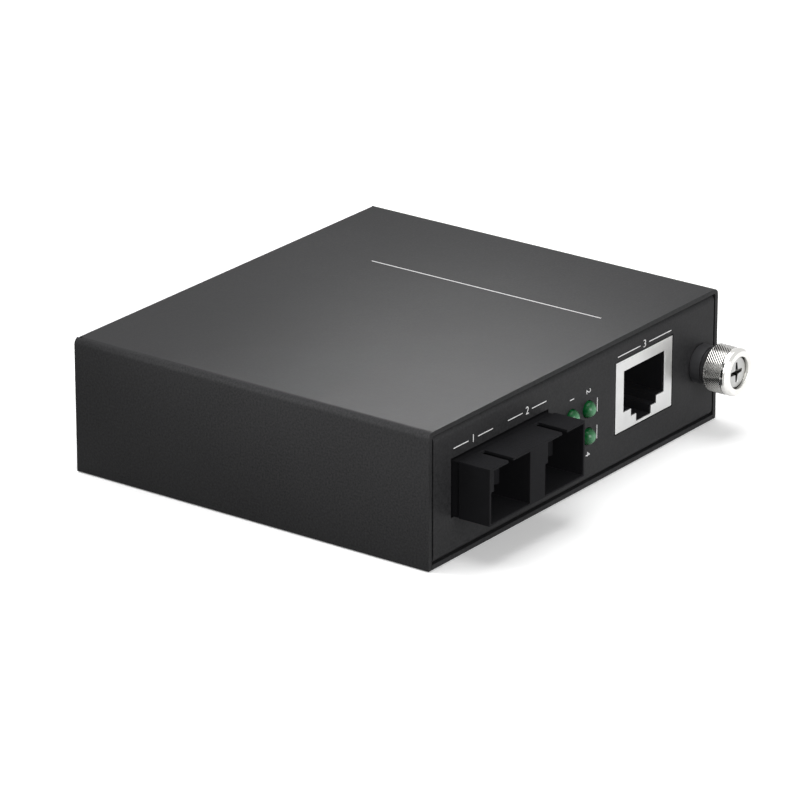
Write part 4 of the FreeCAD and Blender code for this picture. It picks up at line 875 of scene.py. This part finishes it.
for number, (x, z, span) in enumerate(ports, 1):
    printed(f"port_number_{number}", str(number), PORT_NUMBER, (x, ink_face, z), RIGHT, UP)
    for side, sign in (("left", -1), ("right", 1)):
        ruled(f"port_{number}_rule_{side}", (x + sign * NUMBER_ROOM, PANEL_FACE, z),
              (x + sign * span / 2, PANEL_FACE, z), FACE_OUT)

# %% Marks at the lamps: the numbers lie on their side, above the upper row and below the lower
LAMP_NUMBER, LAMP_GAP, RULE_GAP, RULE_HALF = 1.7 * MM, 3.1 * MM, 2.6 * MM, 1.2 * MM
for number, (x, _, z) in enumerate(lamp_centres, 1):
    beside = z + np.sign(z - square[2]) * LAMP_GAP
    printed(f"lamp_number_{number}", str(number), LAMP_NUMBER, (x, ink_face, beside), (0, 0, -1), RIGHT)
edge_x = lamp_centres[:, 0].max() + RULE_GAP
for row, z in (("upper", lamp_centres[:, 2].max()), ("lower", lamp_centres[:, 2].min())):
    ruled(f"lamp_{row}_rule", (edge_x, PANEL_FACE, z - RULE_HALF), (edge_x, PANEL_FACE, z + RULE_HALF),
          FACE_OUT)


# %% [markdown]
# ## Camera
#
# The camera looks down on the near left corner through a long lens, so parallel edges stay
# nearly parallel. Its place and its two axes are given as they are, and its third axis, which
# points back from the object, is their cross product.

# %% Camera
RIGHTWARD, UPWARD = np.array((0.5925, -0.8056, 0.0)), np.array((0.2929, 0.2154, 0.9316))
CAMERA_PLACE, FOCAL_LENGTH, SENSOR = (-0.6602, -0.4855, 0.3276), 240.05, 36.0  # m, and mm
scene = bpy.context.scene
lens = bpy.data.cameras.new("camera")
lens.lens, lens.sensor_width, lens.clip_start, lens.clip_end = FOCAL_LENGTH, SENSOR, 0.01, 20.0
camera = bpy.data.objects.new("camera", lens)
turn = np.eye(4)
turn[:3] = np.stack([RIGHTWARD, UPWARD, np.cross(RIGHTWARD, UPWARD), CAMERA_PLACE], 1)
camera.matrix_world = Matrix(turn.tolist())
scene.collection.objects.link(camera)
scene.camera = camera
print("camera", round(float(np.linalg.norm(CAMERA_PLACE)), 3), "m from the origin")


# %% [markdown]
# ## Floor
#
# The floor is a sheet of paper. Its fibres are white to a camera ray, and to a ray that metal
# or the lamp epoxy sends on, and grey to the rays that light the object, so that the paper
# throws little light up at it. To the rays that see it white it also glows, so that it melts
# into the background. Near the object the glow alone is far less than white, so the shadow
# stays. Further away, where the lamps no longer reach, the glow grows to full white.

# %% Floor
HALF, GLOW, NEAR, FAR, FIBRE, DROP = 3.0, 0.20, 0.25, 0.80, 1.1 * MM, 0.2 * MM


def seen_rays(tree):
    """One for a camera, glossy or transmission ray and 0 for others: the largest of the three."""
    rays, seen = node(tree, "LightPath"), 0.0
    for kind in ("Is Camera Ray", "Is Glossy Ray", "Is Transmission Ray"):
        largest = node(tree, "Math", {0: seen, 1: rays.outputs[kind]}, operation="MAXIMUM")
        seen = largest.outputs[0]
    return seen


paper = bpy.data.materials.new("white_paper")
tree = bare_tree(paper)
place, seen = node(tree, "TexCoord").outputs["Object"], seen_rays(tree)
fibre = node(tree, "TexNoise", {"Vector": place, "Scale": 1 / FIBRE, "Detail": 2.0})
distance = node(tree, "VectorMath", {0: place}, operation="LENGTH")
level = node(tree, "MapRange", {"Value": distance.outputs["Value"], "From Min": NEAR, "From Max": FAR,
                                "To Min": GLOW})
grey = node(tree, "Mix", {SHARE: fibre.outputs["Fac"], FIRST: linear("#707070"),
                          SECOND: linear("#787878")}, **COLOURS)
white = node(tree, "Mix", {SHARE: fibre.outputs["Fac"], FIRST: linear("#fafafa"),
                           SECOND: linear("#fefefe")}, **COLOURS)
tone = node(tree, "Mix", {SHARE: seen, FIRST: grey.outputs[MIXED], SECOND: white.outputs[MIXED]},
            **COLOURS)
matte = node(tree, "BsdfDiffuse", {"Color": tone.outputs[MIXED]})
lift = node(tree, "Math", {0: seen, 1: level.outputs[0]}, operation="MULTIPLY")
glow = node(tree, "Emission", {"Color": (1, 1, 1, 1), "Strength": lift.outputs[0]})
both = node(tree, "AddShader", {0: matte.outputs[0], 1: glow.outputs[0]})
node(tree, "OutputMaterial", {"Surface": both.outputs[0]})

# %% The sheet itself, just under the object
below = CAD_BOX[0][2] - DROP
corners = [(x * HALF, y * HALF, below) for x, y in ((-1, -1), (1, -1), (1, 1), (-1, 1))]
floor_mesh = bpy.data.meshes.new("floor")
floor_mesh.from_pydata(corners, [], [(0, 1, 2, 3)])
floor_mesh.materials.append(paper)
floor = bpy.data.objects.new("floor", floor_mesh)
scene.collection.objects.link(floor)
print("floor", round(DROP / MM, 2), "mm below the object")


# %% [markdown]
# ## World and lamps
#
# The world is white where it is seen, directly or in a reflection, and dimmer as a source of
# light. A wide soft light hangs overhead, and a smaller, stronger one stands further off and
# fills the front. Two spots stand behind the object. One grazes the top in a narrow beam, whose
# soft edge makes the sheen of the powder coat fade across the cover, and one lights the left
# side. Together they light a level surface at about the strength at which a colour looks as it
# was written.

# %% World
AS_LIGHT, AS_SEEN = 0.22, 1.0
world = bpy.data.worlds.new("studio")
scene.world = world
tree = bare_tree(world)
level = node(tree, "MapRange", {"Value": seen_rays(tree), "To Min": AS_LIGHT, "To Max": AS_SEEN})
sky = node(tree, "Background", {"Color": (1, 1, 1, 1), "Strength": level.outputs[0]})
node(tree, "OutputWorld", {"Surface": sky.outputs[0]})
print("world", AS_LIGHT, "as a source of light")


# %% Lamps of the studio, in metres, watts and degrees
def aimed(name, lamp, place, aim):
    """Put a lamp at place, facing aim."""
    made = bpy.data.objects.new(name, lamp)
    turn = (Vector(aim) - Vector(place)).to_track_quat("-Z", "Y").to_matrix().to_4x4()
    made.matrix_world = Matrix.Translation(place) @ turn
    scene.collection.objects.link(made)
    print("lamp", name, round(lamp.energy, 1), "W")


# Name, place, size and watts of a square soft light that faces the origin
for name, place, size, watts in (("overhead", (-0.04, 0.15, 0.85), 0.9, 8.5),
                                 ("front_fill", (-0.30, -1.05, 0.30), 0.6, 10.5)):
    lamp = bpy.data.lights.new(name, "AREA")
    lamp.size, lamp.energy = size, watts
    aimed(name, lamp, place, (0, 0, 0))

# Name, place, aim, whole angle of the beam, radius of the bulb and watts of a spot
for name, place, aim, degrees, soft, watts in (
        ("grazing", (1.12, 0.83, 0.62), (-0.085, -0.078, 0.023), 4.2, 0.02, 29.0),
        ("side", (-0.18, 0.30, 0.095), (-0.04, -0.03, 0.043), 16.0, 0.01, 8.0)):
    lamp = bpy.data.lights.new(name, "SPOT")
    lamp.energy, lamp.spot_size, lamp.spot_blend = watts, math.radians(degrees), 1.0
    lamp.shadow_soft_size = soft
    aimed(name, lamp, place, aim)

scene.view_settings.view_transform = "Standard"
